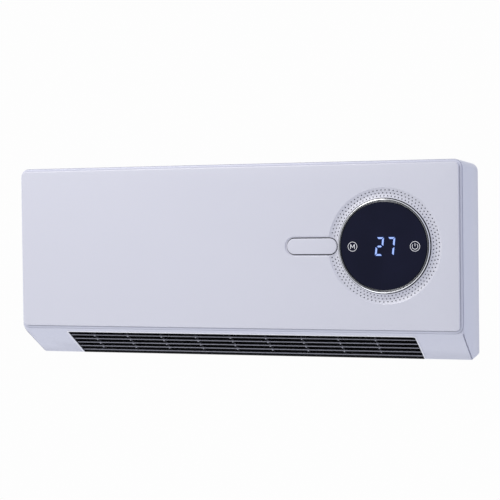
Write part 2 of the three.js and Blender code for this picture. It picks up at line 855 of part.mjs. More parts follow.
function switchBoard() {
  const half = switchBoardWidth / 2;
  const reach = switchPostSpread + switchPostRadius;
  const board = roundedShape(keyX - half, keyX + half, displayZ - reach, displayZ + reach, 2);
  for (const side of [-1, 1]) {
    board.holes.push(circleShape(keyX, displayZ + side * switchPostSpread, switchPegRadius + fit, smallSteps));
  }
  const front = switchFrontY + switchThickness + fit;
  return alongY(board, front + boardThickness, front, 2);
}

function buildKey() {
  addPart(heater, 'pill_key', pillKey(), whitePanel);
  const plunger = turned(rod(plungerRadius, 0, plungerLength), frontView, keyX, plungerEndY, displayZ);
  addPart(heater, 'switch_plunger', plunger, blackPlastic);
  addPart(heater, 'switch_case', switchCase(), blackPlastic);
  addPart(heater, 'switch_board', switchBoard(), boardGreen);
}

// ---------------------------------------------------------------- outlet grille

// local frame of the outlet: X along it, Y down the slope, Z inwards
const outletGroup = new THREE.Group();
outletGroup.position.set(0, frontY, slopeTopZ);
outletGroup.rotation.x = -slopeAngle;

function outletGrille() {
  const back = wall + fit;
  const half = outletHalfWidth + grilleFlange;
  const inner = outletHalfWidth - grilleFlange;
  const top = outletTopMargin - grilleLapTop;
  const low = slopeLength - outletBottomMargin - grilleLapLow;
  const open = box(-inner, inner, outletTopMargin, low - grilleFrame, back - over, back + grilleFrame + over);
  const pieces = [box(-half, half, top, low, back, back + grilleFrame).subtract(open)];
  const reach = outletHalfWidth - fit;
  for (let i = 0; i < slatCount; i += 1) {
    const slat = box(-reach, reach, 0, slatDepth, 0, slatThickness);
    pieces.push(slat.rotate([slopeDegrees, 0, 0]).translate([0, firstSlat + i * slatPitch, slatSetback]));
  }
  for (let i = 0; i < ribCount; i += 1) {
    const x = (i - (ribCount - 1) / 2) * ribPitch + ribShift;
    const [left, right] = [x - ribThickness / 2, x + ribThickness / 2];
    pieces.push(box(left, right, outletTopMargin + fit, low, ribSetback, ribSetback + ribDepth));
  }
  return union(pieces);
}

// ---------------------------------------------------------------- intake grille

function intakeGrille() {
  const ceiling = topZ(intakeBack + intakeFlange) - wall - fit;
  const flange = intakeFlange;
  const plate = box(
    -intakeHalfWidth - flange, intakeHalfWidth + flange, intakeFront - flange, intakeBack + flange,
    ceiling - intakeFlangeThickness, ceiling);
  const raised = box(
    -intakeHalfWidth + fit, intakeHalfWidth - fit, intakeFront + fit, intakeBack - fit,
    ceiling - over, topZ(intakeBack) - intakeSetback);
  let grille = plate.add(raised);
  const count = Math.floor((2 * intakeHalfWidth - 2 * intakeSlotMargin) / intakeSlotPitch);
  const low = ceiling - intakeFlangeThickness - over;
  for (let i = 0; i < count; i += 1) {
    const x = (i - (count - 1) / 2) * intakeSlotPitch;
    grille = grille.subtract(box(
      x - intakeSlotWidth / 2, x + intakeSlotWidth / 2,
      intakeFront + intakeSlotMargin, intakeBack - intakeSlotMargin, low, halfHeight + over));
  }
  return grille;
}

// ---------------------------------------------------------------- rear cover

function rearCover() {
  const inset = wall + fit;
  const ring = (y) => caseRing(y, inset, topCornerRadius - inset, bottomCornerRadius - inset);
  let cover = loft([ring(0), ring(-coverThickness)]);
  for (const [x, z] of coverBosses) {
    const seat = coverThickness - screwHeadHeight - 2 * fit;
    const hole = rod(screwRadius + fit, -over, coverThickness + over, smallSteps)
      .add(rod(screwHeadRadius + fit, seat, coverThickness + over, smallSteps));
    cover = cover.subtract(turned(hole, wallView, x, -coverThickness, z));
  }
  for (const side of [-1, 1]) {
    const keyhole = new THREE.Shape();
    const half = keyholeSlot / 2;
    const join = Math.acos(half / keyholeRadius);
    keyhole.absarc(side * keyholeX, keyholeZ, keyholeRadius, Math.PI - join, 2 * Math.PI + join);
    keyhole.lineTo(side * keyholeX + half, keyholeZ + keyholeRise);
    keyhole.absarc(side * keyholeX, keyholeZ + keyholeRise, half, 0, Math.PI);
    cover = cover.subtract(alongY(keyhole, over, -coverThickness - over, 8));
  }
  const standoffs = boardScrewPlaces().map(([x, z]) => {
    const length = -powerBoardY - fit - coverThickness;
    const bored = rod(standoffRadius, -over, length, smallSteps)
      .subtract(rod(screwRadius + fit, over, length + over, smallSteps));
    return turned(bored, frontView, x, -coverThickness, z);
  });
  return cover.add(union(standoffs));
}

function boardScrewPlaces() {
  return [powerBoardTop - standoffMargin, powerBoardBottom + standoffMargin].map((z) => [bayX, z]);
}

function screw(length) {
  const under = -screwHeadHeight;
  return revolve([
    [0, -length], [screwRadius, -length], [screwRadius, under],
    [screwHeadRadius, under], [screwHeadRadius, 0], [0, 0],
  ], false, smallSteps);
}

function buildCoverScrews() {
  coverBosses.forEach(([x, z], i) => {
    const mesh = addPart(heater, `cover_screw_${i + 1}`, screw(screwLength), steel);
    mesh.rotation.x = -Math.PI / 2;
    mesh.position.set(x, -fit, z);
  });
}

// ---------------------------------------------------------------- fan

// local frame of the fan: Z along the rotor, towards +X
const fanGroup = new THREE.Group();
fanGroup.position.set(0, rotorY, rotorZ);
fanGroup.quaternion.setFromRotationMatrix(sideView);

// one forward-curved blade: a thin crescent between the root and tip radii
function bladeShape(angle) {
  const tip = rotorRadius - 0.4;
  const root = tip - bladeChord;
  const steps = 2;
  const line = (offset) => {
    const points = [];
    for (let i = 0; i <= steps; i += 1) {
      const t = i / steps;
      const radius = root + t * (tip - root);
      const lead = bladeSweep * t + (bladeCamber / rotorRadius) * Math.sin(Math.PI * t);
      const turn = angle + lead + offset / radius;
      points.push(new THREE.Vector2(radius * Math.cos(turn), radius * Math.sin(turn)));
    }
    return points;
  };
  return new THREE.Shape([...line(-bladeThickness / 2), ...line(bladeThickness / 2).reverse()]);
}

const hubScrewX = -rotorHalf + (hubLength + rotorDisc) / 2;

function fanRotor() {
  const bay = 2 * rotorHalf / rotorBays;
  const discs = [];
  for (let i = 1; i < rotorBays; i += 1) {
    const z = -rotorHalf + i * bay;
    discs.push(rod(rotorRadius, z - rotorRing / 2, z + rotorRing / 2, bladeCount)
      .subtract(rod(rotorRingBore, z - rotorRing, z + rotorRing)));
  }
  for (const side of [-1, 1]) {
    const disc = rod(rotorRadius, rotorHalf - rotorDisc, rotorHalf, bladeCount);
    const hub = rod(hubRadius, rotorHalf - hubLength, rotorHalf);
    const bore = rod(shaftRadius + fit, rotorHalf - hubLength + shaftSetback - fit, rotorHalf + over);
    const end = disc.add(hub).subtract(bore);
    discs.push(side > 0 ? end : end.mirror([0, 0, 1]));
  }
  const blades = [];
  for (let i = 0; i < bladeCount; i += 1) {
    const shape = bladeShape((2 * Math.PI * i) / bladeCount);
    blades.push(prism(lookDown, shape, -rotorHalf + rotorDisc / 2, rotorHalf - rotorDisc / 2));
  }
  const grubHole = rod(hubScrewRadius + fit, 0, hubRadius + over, smallSteps);
  return union([...discs, ...blades]).subtract(turned(grubHole, wallView, 0, 0, hubScrewX));
}

function buildFan() {
  addPart(fanGroup, 'fan_rotor', fanRotor(), blackPlastic);
  const motorFace = -ductHalfWidth - ductWall - motorBossLength - fit;
  const shaftEnd = rotorHalf - hubLength + shaftSetback;
  addPart(fanGroup, 'motor_shaft', rod(shaftRadius, motorFace - motorShaftDepth, -shaftEnd), steel);
  const pinEnd = ductHalfWidth + ductWall + bearingLength - endPinGap;
  addPart(fanGroup, 'end_pin', rod(shaftRadius, shaftEnd, pinEnd), steel);
  const grub = rod(hubScrewRadius, shaftRadius + fit, hubRadius, smallSteps);
  addPart(fanGroup, 'hub_screw', turned(grub, wallView, 0, 0, hubScrewX), steel);
  addPart(fanGroup, 'fan_motor', fanMotor(motorFace), steel);
  for (const side of [-1, 1]) {
    const name = side > 0 ? 'motor_screw_upper' : 'motor_screw_lower';
    const mesh = addPart(fanGroup, name, screw(motorEarThickness + fit + motorBossLength), steel);
    mesh.rotation.x = Math.PI;
    mesh.position.set(0, side * motorScrewSpread, motorFace - motorEarThickness - fit - screwHeadHeight);
  }
  addPart(fanGroup, 'bearing_bush', bearingBush(), bronze);
  addPart(fanGroup, 'bearing_holder', bearingHolder(), rubber);
  heater.add(fanGroup);
}

function fanMotor(face) {
  const can = revolve([
    [0, face - motorLength], [motorRadius - motorRound, face - motorLength],
    [motorRadius, face - motorLength + motorRound], [motorRadius, face - motorRound],
    [motorRadius - motorRound, face], [0, face],
  ]);
  const reach = motorScrewSpread + motorEar;
  const ears = roundedShape(-motorEar, motorEar, -reach, reach, motorEar - 0.1);
  for (const side of [-1, 1]) {
    ears.holes.push(circleShape(0, side * motorScrewSpread, screwRadius + fit, smallSteps));
  }
  const bore = rod(shaftRadius + runningFit, face - motorShaftDepth - fit, face + over);
  return can.add(prism(lookDown, ears, face - motorEarThickness, face, 4)).subtract(bore);
}

function bearingBush() {
  const from = ductHalfWidth - over;
  const to = from + bearingLength;
  return rod(bearingRadius, from, to).subtract(rod(shaftRadius + runningFit, from - over, to + over));
}

function bearingHolder() {
  const inner = bearingRadius + fit;
  const outside = ductHalfWidth + ductWall;
  const lip = bearingHolderRadius + bearingHolderLip;
  return revolve([
    [inner, ductHalfWidth - bearingHolderPlug], [bearingHolderRadius, ductHalfWidth - bearingHolderPlug],
    [bearingHolderRadius, outside + fit], [lip, outside + fit],
    [lip, outside + bearingHolderRim], [inner, outside + bearingHolderNose],
  ], true);
}

// ---------------------------------------------------------------- air duct

const rotorCentre = new THREE.Vector2(rotorY, rotorZ);

// inner surface of the scroll: round the rear of the rotor, then forward to the outlet's low edge
function scrollLine() {
  const radius = rotorRadius + scrollGap;
  const points = [];
  const arcSteps = 7;
  for (let i = 0; i < arcSteps; i += 1) {
    const angle = scrollStart * (1 - i / arcSteps);
    points.push(new THREE.Vector2(radius * Math.cos(angle), radius * Math.sin(angle)).add(rotorCentre));
  }
  const start = new THREE.Vector2(rotorY + radius, rotorZ);
  const end = slopePoint(slopeLength - ductEndMargin, wall + grilleFrame + 4 * fit);
  const drop = start.y - end.y;
  const sweep = new THREE.CubicBezierCurve(
    start, new THREE.Vector2(start.x, start.y - scrollStraight * drop),
    new THREE.Vector2(end.x + (start.x - end.x) / 2, end.y + scrollSweep * drop), end);
  return points.concat(sweep.getPoints(12));
}

// duct side of the front wall: from the tongue under the rotor to the outlet's top edge
function frontLine() {
  const reach = rotorRadius + tongueGap;
  const nose = new THREE.Vector2(-reach, 0).rotateAround(new THREE.Vector2(), tongueAngle).add(rotorCentre);
  const end = slopePoint(ductTopMargin, wall + grilleFrame + 2 * fit);
  const straightTop = new THREE.Vector2(ductFrontY, heaterTopZ + ductWall);
  const straightLow = new THREE.Vector2(ductFrontY, heaterTopZ - heaterHeight);
  const bend = new THREE.QuadraticBezierCurve(
    nose, new THREE.Vector2(ductFrontY, nose.y - tongueGap), straightTop);
  const flare = new THREE.QuadraticBezierCurve(
    straightLow, new THREE.Vector2(ductFrontY, (straightLow.y + end.y) / 2), end);
  return bend.getPoints(4).concat(flare.getPoints(6));
}

function ductScroll() {
  return alongX(thickened(scrollLine(), ductWall), -ductHalfWidth + fit, ductHalfWidth - fit);
}

function ductFront() {
  return alongX(thickened(frontLine(), -ductWall), -ductHalfWidth + fit, ductHalfWidth - fit);
}

// end plate: closes the duct and the rotor's ends
function endPlateShape() {
  const scroll = scrollLine();
  const rearY = rotorY + rotorRadius + scrollGap + ductWall;
  const topEdge = rotorZ + rotorRadius + ductEndRise;
  const low = slopePoint(slopeLength - ductEndMargin, wall + fit);
  const front = slopePoint(ductTopMargin, wall + fit);
  const outward = (line, offset) => line.map((point) => new THREE.Vector2(point.x + offset, point.y));
  const frontEdge = outward(frontLine().slice(4).reverse(), -ductWall);
  const rearEdge = outward(scroll.slice(8, -1), ductWall);
  return new THREE.Shape([
    new THREE.Vector2(rearY, topEdge), ...rearEdge, low, front, ...frontEdge.slice(1),
    new THREE.Vector2(ductFrontY - ductWall, topEdge),
  ].reverse());
}

function endPlate(side, axleRadius) {
  const shape = endPlateShape();
  shape.holes.push(circleShape(rotorY, rotorZ, axleRadius));
  const near = side * ductHalfWidth;
  const far = side * (ductHalfWidth + ductWall);
  return alongX(shape, near, far);
}

function ductEndMotor() {
  const plate = endPlate(-1, 2 * shaftRadius);
  const bosses = [-1, 1].map((side) => {
    const boss = rod(bossRadius, -motorBossLength, ductWall / 2, smallSteps)
      .subtract(rod(screwRadius + fit, -motorBossLength - over, 0, smallSteps));
    return turned(boss, sideView, -ductHalfWidth - ductWall, rotorY, rotorZ + side * motorScrewSpread);
  });
  return plate.add(union(bosses));
}

function ductEndBearing() {
  const plate = endPlate(1, bearingHolderRadius + fit);
  const [w, h] = [tabThickness / 2 + tabSlotGap, tabWidth / 2 + tabSlotGap];
  const [near, far] = [ductHalfWidth - over, ductHalfWidth + ductWall + over];
  const tabs = barPlaces().map((y) => box(near, far, y - w, y + w, heaterMidZ - h, heaterMidZ + h));
  return plate.subtract(union(tabs));
}

// ---------------------------------------------------------------- heating element

const heaterMidZ = heaterTopZ - heaterHeight / 2;
const heaterHalf = ductHalfWidth - fit - heaterHolderLength;
const rowPitch = finDepth + barThickness + 2 * fit;

function barPlaces() {
  const places = [];
  for (let i = 0; i < finRows - 1; i += 1) {
    places.push(heaterFrontY + finDepth + fit + barThickness / 2 + i * rowPitch);
  }
  return places;
}

// corrugated sheet folded between two bars
function finRow(y0) {
  const folds = 2 * Math.floor((heaterHalf - fit) / finPitch);
  const half = finSheet * Math.hypot(finPitch / 2, finDepth) / finPitch;
  const line = [];
  for (let i = -folds; i <= folds; i += 1) {
    line.push([i * finPitch / 2, i % 2 === 0 ? y0 + half : y0 + finDepth - half]);
  }
  const outline = [
    ...line.map(([x, y]) => [x, y - half]),
    ...line.reverse().map(([x, y]) => [x, y + half]),
  ];
  return alongZ(polygon(outline), heaterTopZ - heaterHeight + finMargin, heaterTopZ - finMargin);
}

function heaterBar(y) {
  const half = barThickness / 2;
  const bar = box(
    -heaterHalf + fit, heaterHalf - fit, y - half, y + half,
    heaterTopZ - heaterHeight + barMargin, heaterTopZ - barMargin);
  const tab = box(
    heaterHalf - over, ductHalfWidth + ductWall + tabReach, y - tabThickness / 2, y + tabThickness / 2,
    heaterMidZ - tabWidth / 2, heaterMidZ + tabWidth / 2);
  return bar.add(tab);
}

function heaterHolder(side) {
  const near = side * heaterHalf;
  const far = side * (ductHalfWidth - fit);
  const block = box(
    near, far, heaterFrontY - heaterHolderWall, heaterBackY + heaterHolderWall,
    heaterTopZ - heaterHeight, heaterTopZ);
  if (side < 0) return block;
  const slots = barPlaces().map((y) => {
    const [w, h] = [tabThickness / 2 + fit, tabWidth / 2 + fit];
    return box(near - over, far + over, y - w, y + w, heaterMidZ - h, heaterMidZ + h);
  });
  return block.subtract(union(slots));
}

function thermostat() {
  const neck = thermostatRadius * 0.75;
  return revolve([
    [0, 0], [thermostatRadius, 0], [thermostatRadius, thermostatFlange], [neck, thermostatFlange],
    [neck, thermostatHeight], [0, thermostatHeight],
  ]);
}

function thermalFuse() {
  const [end, shoulder] = [fuseLength / 2, fuseLength / 3];
  return revolve([
    [0, -end], [fuseRadius / 2, -end], [fuseRadius, -shoulder],
    [fuseRadius, shoulder], [fuseRadius / 2, end], [0, end],
  ], false, smallSteps);
}

function buildHeater() {
  const rowNames = ['front', 'middle', 'rear'];
  for (let i = 0; i < finRows; i += 1) {
    addPart(heater, `heater_fins_${rowNames[i]}`, finRow(heaterFrontY + i * rowPitch), aluminium);
  }
  barPlaces().forEach((y, i) => addPart(heater, `heater_bar_${i + 1}`, heaterBar(y), aluminium));
  addPart(heater, 'heater_holder_left', heaterHolder(-1), partWhite);
  addPart(heater, 'heater_holder_right', heaterHolder(1), partWhite);
  const onFins = heaterTopZ - finMargin + fit;
  const cutout = addPart(heater, 'thermostat', thermostat(), partWhite);
  const thermostatX = -heaterHalf + thermostatInset;
  cutout.position.set(thermostatX, heaterFrontY + finDepth / 2, onFins);
  const fuse = addPart(heater, 'thermal_fuse', thermalFuse(), aluminium);
  fuse.rotation.y = Math.PI / 2;
  fuse.position.set(thermostatX + fuseGap, heaterFrontY + finDepth / 2, onFins + fuseRadius);
}

// ---------------------------------------------------------------- electrics

const boardFaceY = powerBoardY - boardThickness;
const onPowerBoard = boardFaceY - fit;

function powerBoard() {
  const half = powerBoardWidth / 2;
  const board = roundedShape(bayX - half, bayX + half, powerBoardBottom, powerBoardTop, 1);
  for (const [x, z] of boardScrewPlaces()) {
    board.holes.push(circleShape(x, z, screwRadius + fit, smallSteps));
  }
  return alongY(board, powerBoardY, boardFaceY, 2);
}

function terminalBlock() {
  const [w, h] = [terminalWidth / 2, terminalHeight / 2];
  const front = onPowerBoard - terminalDepth;
  let block = box(bayX - w, bayX + w, front, onPowerBoard, terminalZ - h, terminalZ + h);
  const well = rod(terminalWellRadius, terminalWellFloor, terminalDepth + over, smallSteps);
  for (let i = -1; i <= 1; i += 1) {
    const x = bayX + i * terminalWidth / 3;
    block = block.subtract(turned(well, frontView, x, onPowerBoard, terminalZ));
  }
  return block;
}

function cordBush() {
  const low = floorZ(cordHoleY) + fit;
  const seat = floorZ(0) + wall + fit;
  const top = seat + cordBushFlangeThickness;
  const outer = cordHoleRadius + cordBushWall;
  return revolve([
    [cordHoleRadius, low], [outer, low], [outer, seat], [outer + cordBushFlange, seat],
    [outer + cordBushFlange, top], [cordHoleRadius, top],
  ], true);
}

function buildElectrics() {
  addPart(heater, 'power_board', powerBoard(), boardGreen);
  for (let i = 0; i < 2; i += 1) {
    const z = powerBoardTop - relayDrop - i * relayPitch;
    const relay = box(
      bayX - relayWidth / 2, bayX + relayWidth / 2, onPowerBoard - relayHeight, onPowerBoard,
      z - relayLength / 2, z + relayLength / 2);
    addPart(heater, `relay_${i + 1}`, relay, relayBlue);
  }
  const can = rod(capacitorRadius, 0, capacitorLength);
  const canZ = powerBoardTop - capacitorDrop;
  addPart(heater, 'capacitor', turned(can, frontView, bayX, onPowerBoard, canZ), blackPlastic);
  addPart(heater, 'terminal_block', terminalBlock(), partWhite);
  boardScrewPlaces().forEach(([x, z], i) => {
    const mesh = addPart(heater, `board_screw_${i + 1}`, screw(boardScrewLength), steel);
    mesh.rotation.x = Math.PI / 2;
    mesh.position.set(x, boardFaceY - fit - screwHeadHeight, z);
  });
  const bush = addPart(heater, 'cord_bush', cordBush(), rubber);
  bush.position.set(bayX, cordHoleY, 0);
}

function buildLeads() {
  const tabEnd = ductHalfWidth + ductWall + tabReach + fit;
  const blockFront = onPowerBoard - terminalDepth - fit;
  barPlaces().forEach((y, i) => {
    const x = bayX + (i === 0 ? terminalWidth / 3 : 0);
    const lead = tube([
      [tabEnd, y, heaterMidZ], [tabEnd + 5, y, heaterMidZ], [x, Math.min(y, blockFront - 8), heaterMidZ - 10],
      [x, blockFront - 5, terminalZ], [x, blockFront, terminalZ],
    ], leadRadius, 12, 6);
    const [name, sleeve] = i === 0 ? ['heater_lead_live', redSleeve] : ['heater_lead_return', blueSleeve];
    addPart(heater, name, lead, sleeve);
  });
  const canTop = rotorZ + motorRadius + fit;
  const motorX = -ductHalfWidth - ductWall - motorBossLength - motorLength / 2;
  const run = halfHeight - 26;
  const motorLead = tube([
    [motorX, rotorY, canTop], [motorX, rotorY, canTop + 6], [motorX + 12, rotorY + 18, run - 4],
    [motorX + 50, -13, run], [motorX / 4, -13, run], [bayX / 4, -13, run], [bayX - 40, -13, run],
    [bayX - 12, -17, run], [bayX - 8, onPowerBoard - 7, powerBoardTop - 12],
    [bayX - 8, onPowerBoard, powerBoardTop - 12],
  ], leadRadius, 20, 6);
  addPart(heater, 'motor_lead', motorLead, blackPlastic);
  const cupRearY = dishFloorY - cupBack + fit;
  const loom = tube([
    [displayX + 40, cupRearY, displayZ - 6], [displayX + 40, cupRearY + 3, displayZ - 6],
    [bayX + 8, cupRearY + 22, displayZ - 18], [bayX + 10, onPowerBoard - 12, displayZ - 34],
    [bayX + 10, onPowerBoard, displayZ - 34],
  ], leadRadius, 14, 6);
  addPart(heater, 'display_loom', loom, blackPlastic);
}

// ---------------------------------------------------------------- assembly

addPart(heater, 'housing_shell', housingShell(), whiteCasing);
addPart(heater, 'front_panel', frontPanel(), whitePanel);
addPart(heater, 'rear_cover', rearCover(), whiteCasing);
addPart(outletGroup, 'outlet_grille', outletGrille(), greyGrille);
heater.add(outletGroup);
addPart(heater, 'intake_grille', intakeGrille(), whiteCasing);
buildDisplay();
buildKey();
buildFan();
addPart(heater, 'duct_scroll', ductScroll(), darkMoulding);
addPart(heater, 'duct_front', ductFront(), darkMoulding);
addPart(heater, 'duct_end_motor', ductEndMotor(), darkMoulding);
addPart(heater, 'duct_end_bearing', ductEndBearing(), darkMoulding);
buildHeater();
buildElectrics();
buildLeads();
buildCoverScrews();

export default heater;
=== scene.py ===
# Wall fan heater for a bathroom: fine surfaces, finishes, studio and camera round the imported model.
# Metres. The wall is y = 0, -Y is the front and +Z is up.
import json
from math import atan2, cos, degrees, hypot, pi, radians, sin
import bmesh
import bpy
from mathutils import Matrix, Vector


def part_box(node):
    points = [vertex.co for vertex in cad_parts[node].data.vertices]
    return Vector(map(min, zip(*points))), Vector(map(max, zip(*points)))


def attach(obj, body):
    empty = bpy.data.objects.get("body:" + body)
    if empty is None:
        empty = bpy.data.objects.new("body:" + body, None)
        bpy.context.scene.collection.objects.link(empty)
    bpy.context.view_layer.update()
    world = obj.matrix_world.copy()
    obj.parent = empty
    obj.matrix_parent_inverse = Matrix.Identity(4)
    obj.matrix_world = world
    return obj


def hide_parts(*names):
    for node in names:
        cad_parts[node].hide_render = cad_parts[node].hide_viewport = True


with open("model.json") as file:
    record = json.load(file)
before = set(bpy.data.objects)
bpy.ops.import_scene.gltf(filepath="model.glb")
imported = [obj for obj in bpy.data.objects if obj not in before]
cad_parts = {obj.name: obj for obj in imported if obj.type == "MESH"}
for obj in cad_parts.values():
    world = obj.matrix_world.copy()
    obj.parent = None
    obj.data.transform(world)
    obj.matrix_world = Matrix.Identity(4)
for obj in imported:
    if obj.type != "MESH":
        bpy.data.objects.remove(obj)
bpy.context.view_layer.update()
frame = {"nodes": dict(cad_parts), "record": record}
print("frame loaded")

mm = 0.001
tiny = 0.00001
past = 1 * mm  # how far a cutter reaches past the face it opens
toFront, toWall, upwards = Vector((0, -1, 0)), Vector((0, 1, 0)), Vector((0, 0, 1))


def middleOf(node):
    # the middle of a node's box, moved back to the wall
    low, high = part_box(node)
    return Vector(((low.x + high.x) / 2, 0, (low.z + high.z) / 2))


shellLow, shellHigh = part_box("housing_shell")
panelLow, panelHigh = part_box("front_panel")
ringLow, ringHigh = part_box("chrome_ring")
lensLow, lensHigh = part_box("display_glass")
keyLow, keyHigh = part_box("pill_key")
intakeLow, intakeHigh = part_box("intake_grille")
bushLow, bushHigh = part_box("cord_bush")
displayMid, keyMid = middleOf("chrome_ring"), middleOf("pill_key")
bushMid = (bushLow + bushHigh) / 2
ringRadius = (ringHigh.x - ringLow.x) / 2


def inMetres(values):
    # turns a dictionary of millimetres into metres
    return {name: value * mm for name, value in values.items()}


def addObject(name, data):
    thing = bpy.data.objects.new(name, data)
    bpy.context.collection.objects.link(thing)
    return thing


def newPiece(name, build):
    bm = bmesh.new()
    build(bm)
    bmesh.ops.remove_doubles(bm, verts=bm.verts, dist=tiny / 10)
    bmesh.ops.recalc_face_normals(bm, faces=bm.faces)
    mesh = bpy.data.meshes.new(name)
    bm.to_mesh(mesh)
    bm.free()
    return addObject(name, mesh)


def skin(bm, rings, looped=False):
    # joins a stack of closed rings, then caps both ends or closes the stack on itself
    rows = [[bm.verts.new(point) for point in ring] for ring in rings]
    count = len(rows[0])
    for near, far in zip(rows, rows[1:] + rows[:1] if looped else rows[1:]):
        for i in range(count):
            j = (i + 1) % count
            bm.faces.new((near[i], near[j], far[j], far[i]))
    if not looped:
        bm.faces.new(rows[0])
        bm.faces.new(list(reversed(rows[-1])))


def turn(bm, origin, axis, profile, steps, looped=False):
    # revolves (radius, distance along the axis) pairs; a looped profile closes on itself
    side = axis.orthogonal().normalized()
    other = axis.cross(side)
    turns = [2 * pi * i / steps for i in range(steps)]
    rows = []
    for radius, along in profile:
        middle = origin + axis * along
        if radius < tiny:
            rows.append([bm.verts.new(middle)])
        else:
            rows.append([bm.verts.new(middle + radius * (cos(t) * side + sin(t) * other)) for t in turns])
    for near, far in zip(rows, rows[1:] + rows[:1] if looped else rows[1:]):
        for i in range(steps):
            j = (i + 1) % steps
            around = (near[i % len(near)], near[j % len(near)], far[j % len(far)], far[i % len(far)])
            corners = list(dict.fromkeys(around))
            if len(corners) > 2:
                bm.faces.new(corners)


def drum(bm, origin, axis, radius, near, far, steps):
    # a plain cylinder between two distances along its axis
    turn(bm, origin, axis, [(0, near), (radius, near), (radius, far), (0, far)], steps)


def slab(bm, outline, place, near, far):
    # pushes a flat outline from one depth to another; place turns (u, v, depth) into a point
    skin(bm, [[place(u, v, depth) for u, v in outline] for depth in (near, far)])


def levelPoint(u, v, depth):
    return (u, v, depth)


def frontPoint(u, v, depth):
    return (u, depth, v)


def rectangle(u0, u1, v0, v1):
    return [(u0, v0), (u1, v0), (u1, v1), (u0, v1)]


def arc(u, v, radius, start, sweep, steps):
    # points round a middle, from a start angle and through a sweep in degrees
    turns = [radians(start + sweep * i / steps) for i in range(steps + 1)]
    return [(u + radius * cos(t), v + radius * sin(t)) for t in turns]


def settle(piece):
    # keeps what the modifiers make as the piece's own mesh
    seen = piece.evaluated_get(bpy.context.evaluated_depsgraph_get())
    mesh = bpy.data.meshes.new_from_object(seen)
    piece.modifiers.clear()
    piece.data = mesh


def combine(piece, other, operation):
    step = piece.modifiers.new("combine", "BOOLEAN")
    step.operation = operation
    step.solver = "EXACT"
    step.object = other
    settle(piece)
    bpy.data.objects.remove(other, do_unlink=True)


def carve(piece, *builds):
    for build in builds:
        combine(piece, newPiece("cutter", build), "DIFFERENCE")


def weld(piece, build):
    combine(piece, newPiece("addition", build), "UNION")


def soften(piece, width):
    step = piece.modifiers.new("soften", "BEVEL")
    step.width = width
    step.segments = 2
    step.limit_method = "ANGLE"
    step.angle_limit = radians(29)
    settle(piece)


def dress(piece, slot, finish=None, body="heater_body", hides=(), angle=32):
    # the finish is the slot's own unless another is named
    for face in piece.data.polygons:
        face.use_smooth = True
    piece.data.set_sharp_from_angle(angle=radians(angle))
    piece.data.materials.clear()
    piece.data.materials.append(finishes[finish or slot])
    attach(piece, body)
    if hides:
        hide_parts(*hides)


def cornerRing(y, half, low, high, lowRadius, highRadius):
    # a rectangle with rounded corners, at one depth
    ring = []
    corners = (
        (half - lowRadius, low + lowRadius, lowRadius, -90),
        (half - highRadius, high - highRadius, highRadius, 0),
        (-half + highRadius, high - highRadius, highRadius, 90),
        (-half + lowRadius, low + lowRadius, lowRadius, 180),
    )
    for x, z, radius, start in corners:
        ring += [(u, y, v) for u, v in arc(x, z, radius, start, 90, 10)]
    return ring


def pillRing(y, length, height):
    # the outline of the key or of what lies round it, at one depth
    ring = []
    radius = height / 2
    for x, start in ((length / 2 - radius, -90), (-length / 2 + radius, 90)):
        ring += [(u, y, v) for u, v in arc(keyMid.x + x, keyMid.z, radius, start, 180, 24)]
    return ring


def quarter(steps):
    # pairs that run round a rounded edge: how far in, and how far back
    return [(1 - cos(radians(90 * i / steps)), 1 - sin(radians(90 * i / steps))) for i in range(steps + 1)]


def fill(node, values):
    for name, value in values.items():
        node.inputs[name].default_value = value


def addNode(tree, kind, values={}):
    node = tree.nodes.new(kind)
    fill(node, values)
    return node


def startFinish(name, colour, roughness, metallic=0.0, specular=0.5):
    material = bpy.data.materials.new(name)
    material.use_nodes = True
    shader = material.node_tree.nodes["Principled BSDF"]
    fill(shader, {"Base Color": (*colour, 1), "Roughness": roughness, "Metallic": metallic,
                  "Specular IOR Level": specular})
    return material, material.node_tree, shader


def noiseOf(tree, scale, detail=2.0, stretch=(1, 1, 1)):
    place = addNode(tree, "ShaderNodeTexCoord")
    mapping = addNode(tree, "ShaderNodeMapping", {"Scale": stretch})
    noise = addNode(tree, "ShaderNodeTexNoise", {"Scale": scale, "Detail": detail})
    tree.links.new(place.outputs["Object"], mapping.inputs["Vector"])
    tree.links.new(mapping.outputs["Vector"], noise.inputs["Vector"])
    return noise.outputs["Fac"]


def tint(tree, shader, fac, first, second, low=0.35, high=0.65):
    ramp = tree.nodes.new("ShaderNodeValToRGB")
    for element, place, colour in zip(ramp.color_ramp.elements, (low, high), (first, second)):
        element.position = place
        element.color = (*colour, 1)
    tree.links.new(fac, ramp.inputs["Fac"])
    tree.links.new(ramp.outputs["Color"], shader.inputs["Base Color"])


def varyRoughness(tree, shader, fac, low, high):
    limits = {"From Min": 0.3, "From Max": 0.7, "To Min": low, "To Max": high}
    spread = addNode(tree, "ShaderNodeMapRange", limits)
    tree.links.new(fac, spread.inputs["Value"])
    tree.links.new(spread.outputs["Result"], shader.inputs["Roughness"])


def grain(tree, shader, fac, strength, depth):
    bump = addNode(tree, "ShaderNodeBump", {"Strength": strength, "Distance": depth})
    tree.links.new(fac, bump.inputs["Height"])
    tree.links.new(bump.outputs["Normal"], shader.inputs["Normal"])


def moulded(name, colour, other, roughness, grainSize, grainDepth, specular):
    # moulded plastic: a faint drift of colour, uneven gloss and a fine grain
    material, tree, shader = startFinish(name, colour, roughness, 0.0, specular)
    tint(tree, shader, noiseOf(tree, 5, 1), colour, other, 0.2, 0.8)
    varyRoughness(tree, shader, noiseOf(tree, 22), roughness * 0.96, roughness * 1.04)
    grain(tree, shader, noiseOf(tree, 1 / grainSize), 0.35, grainDepth)
    return material


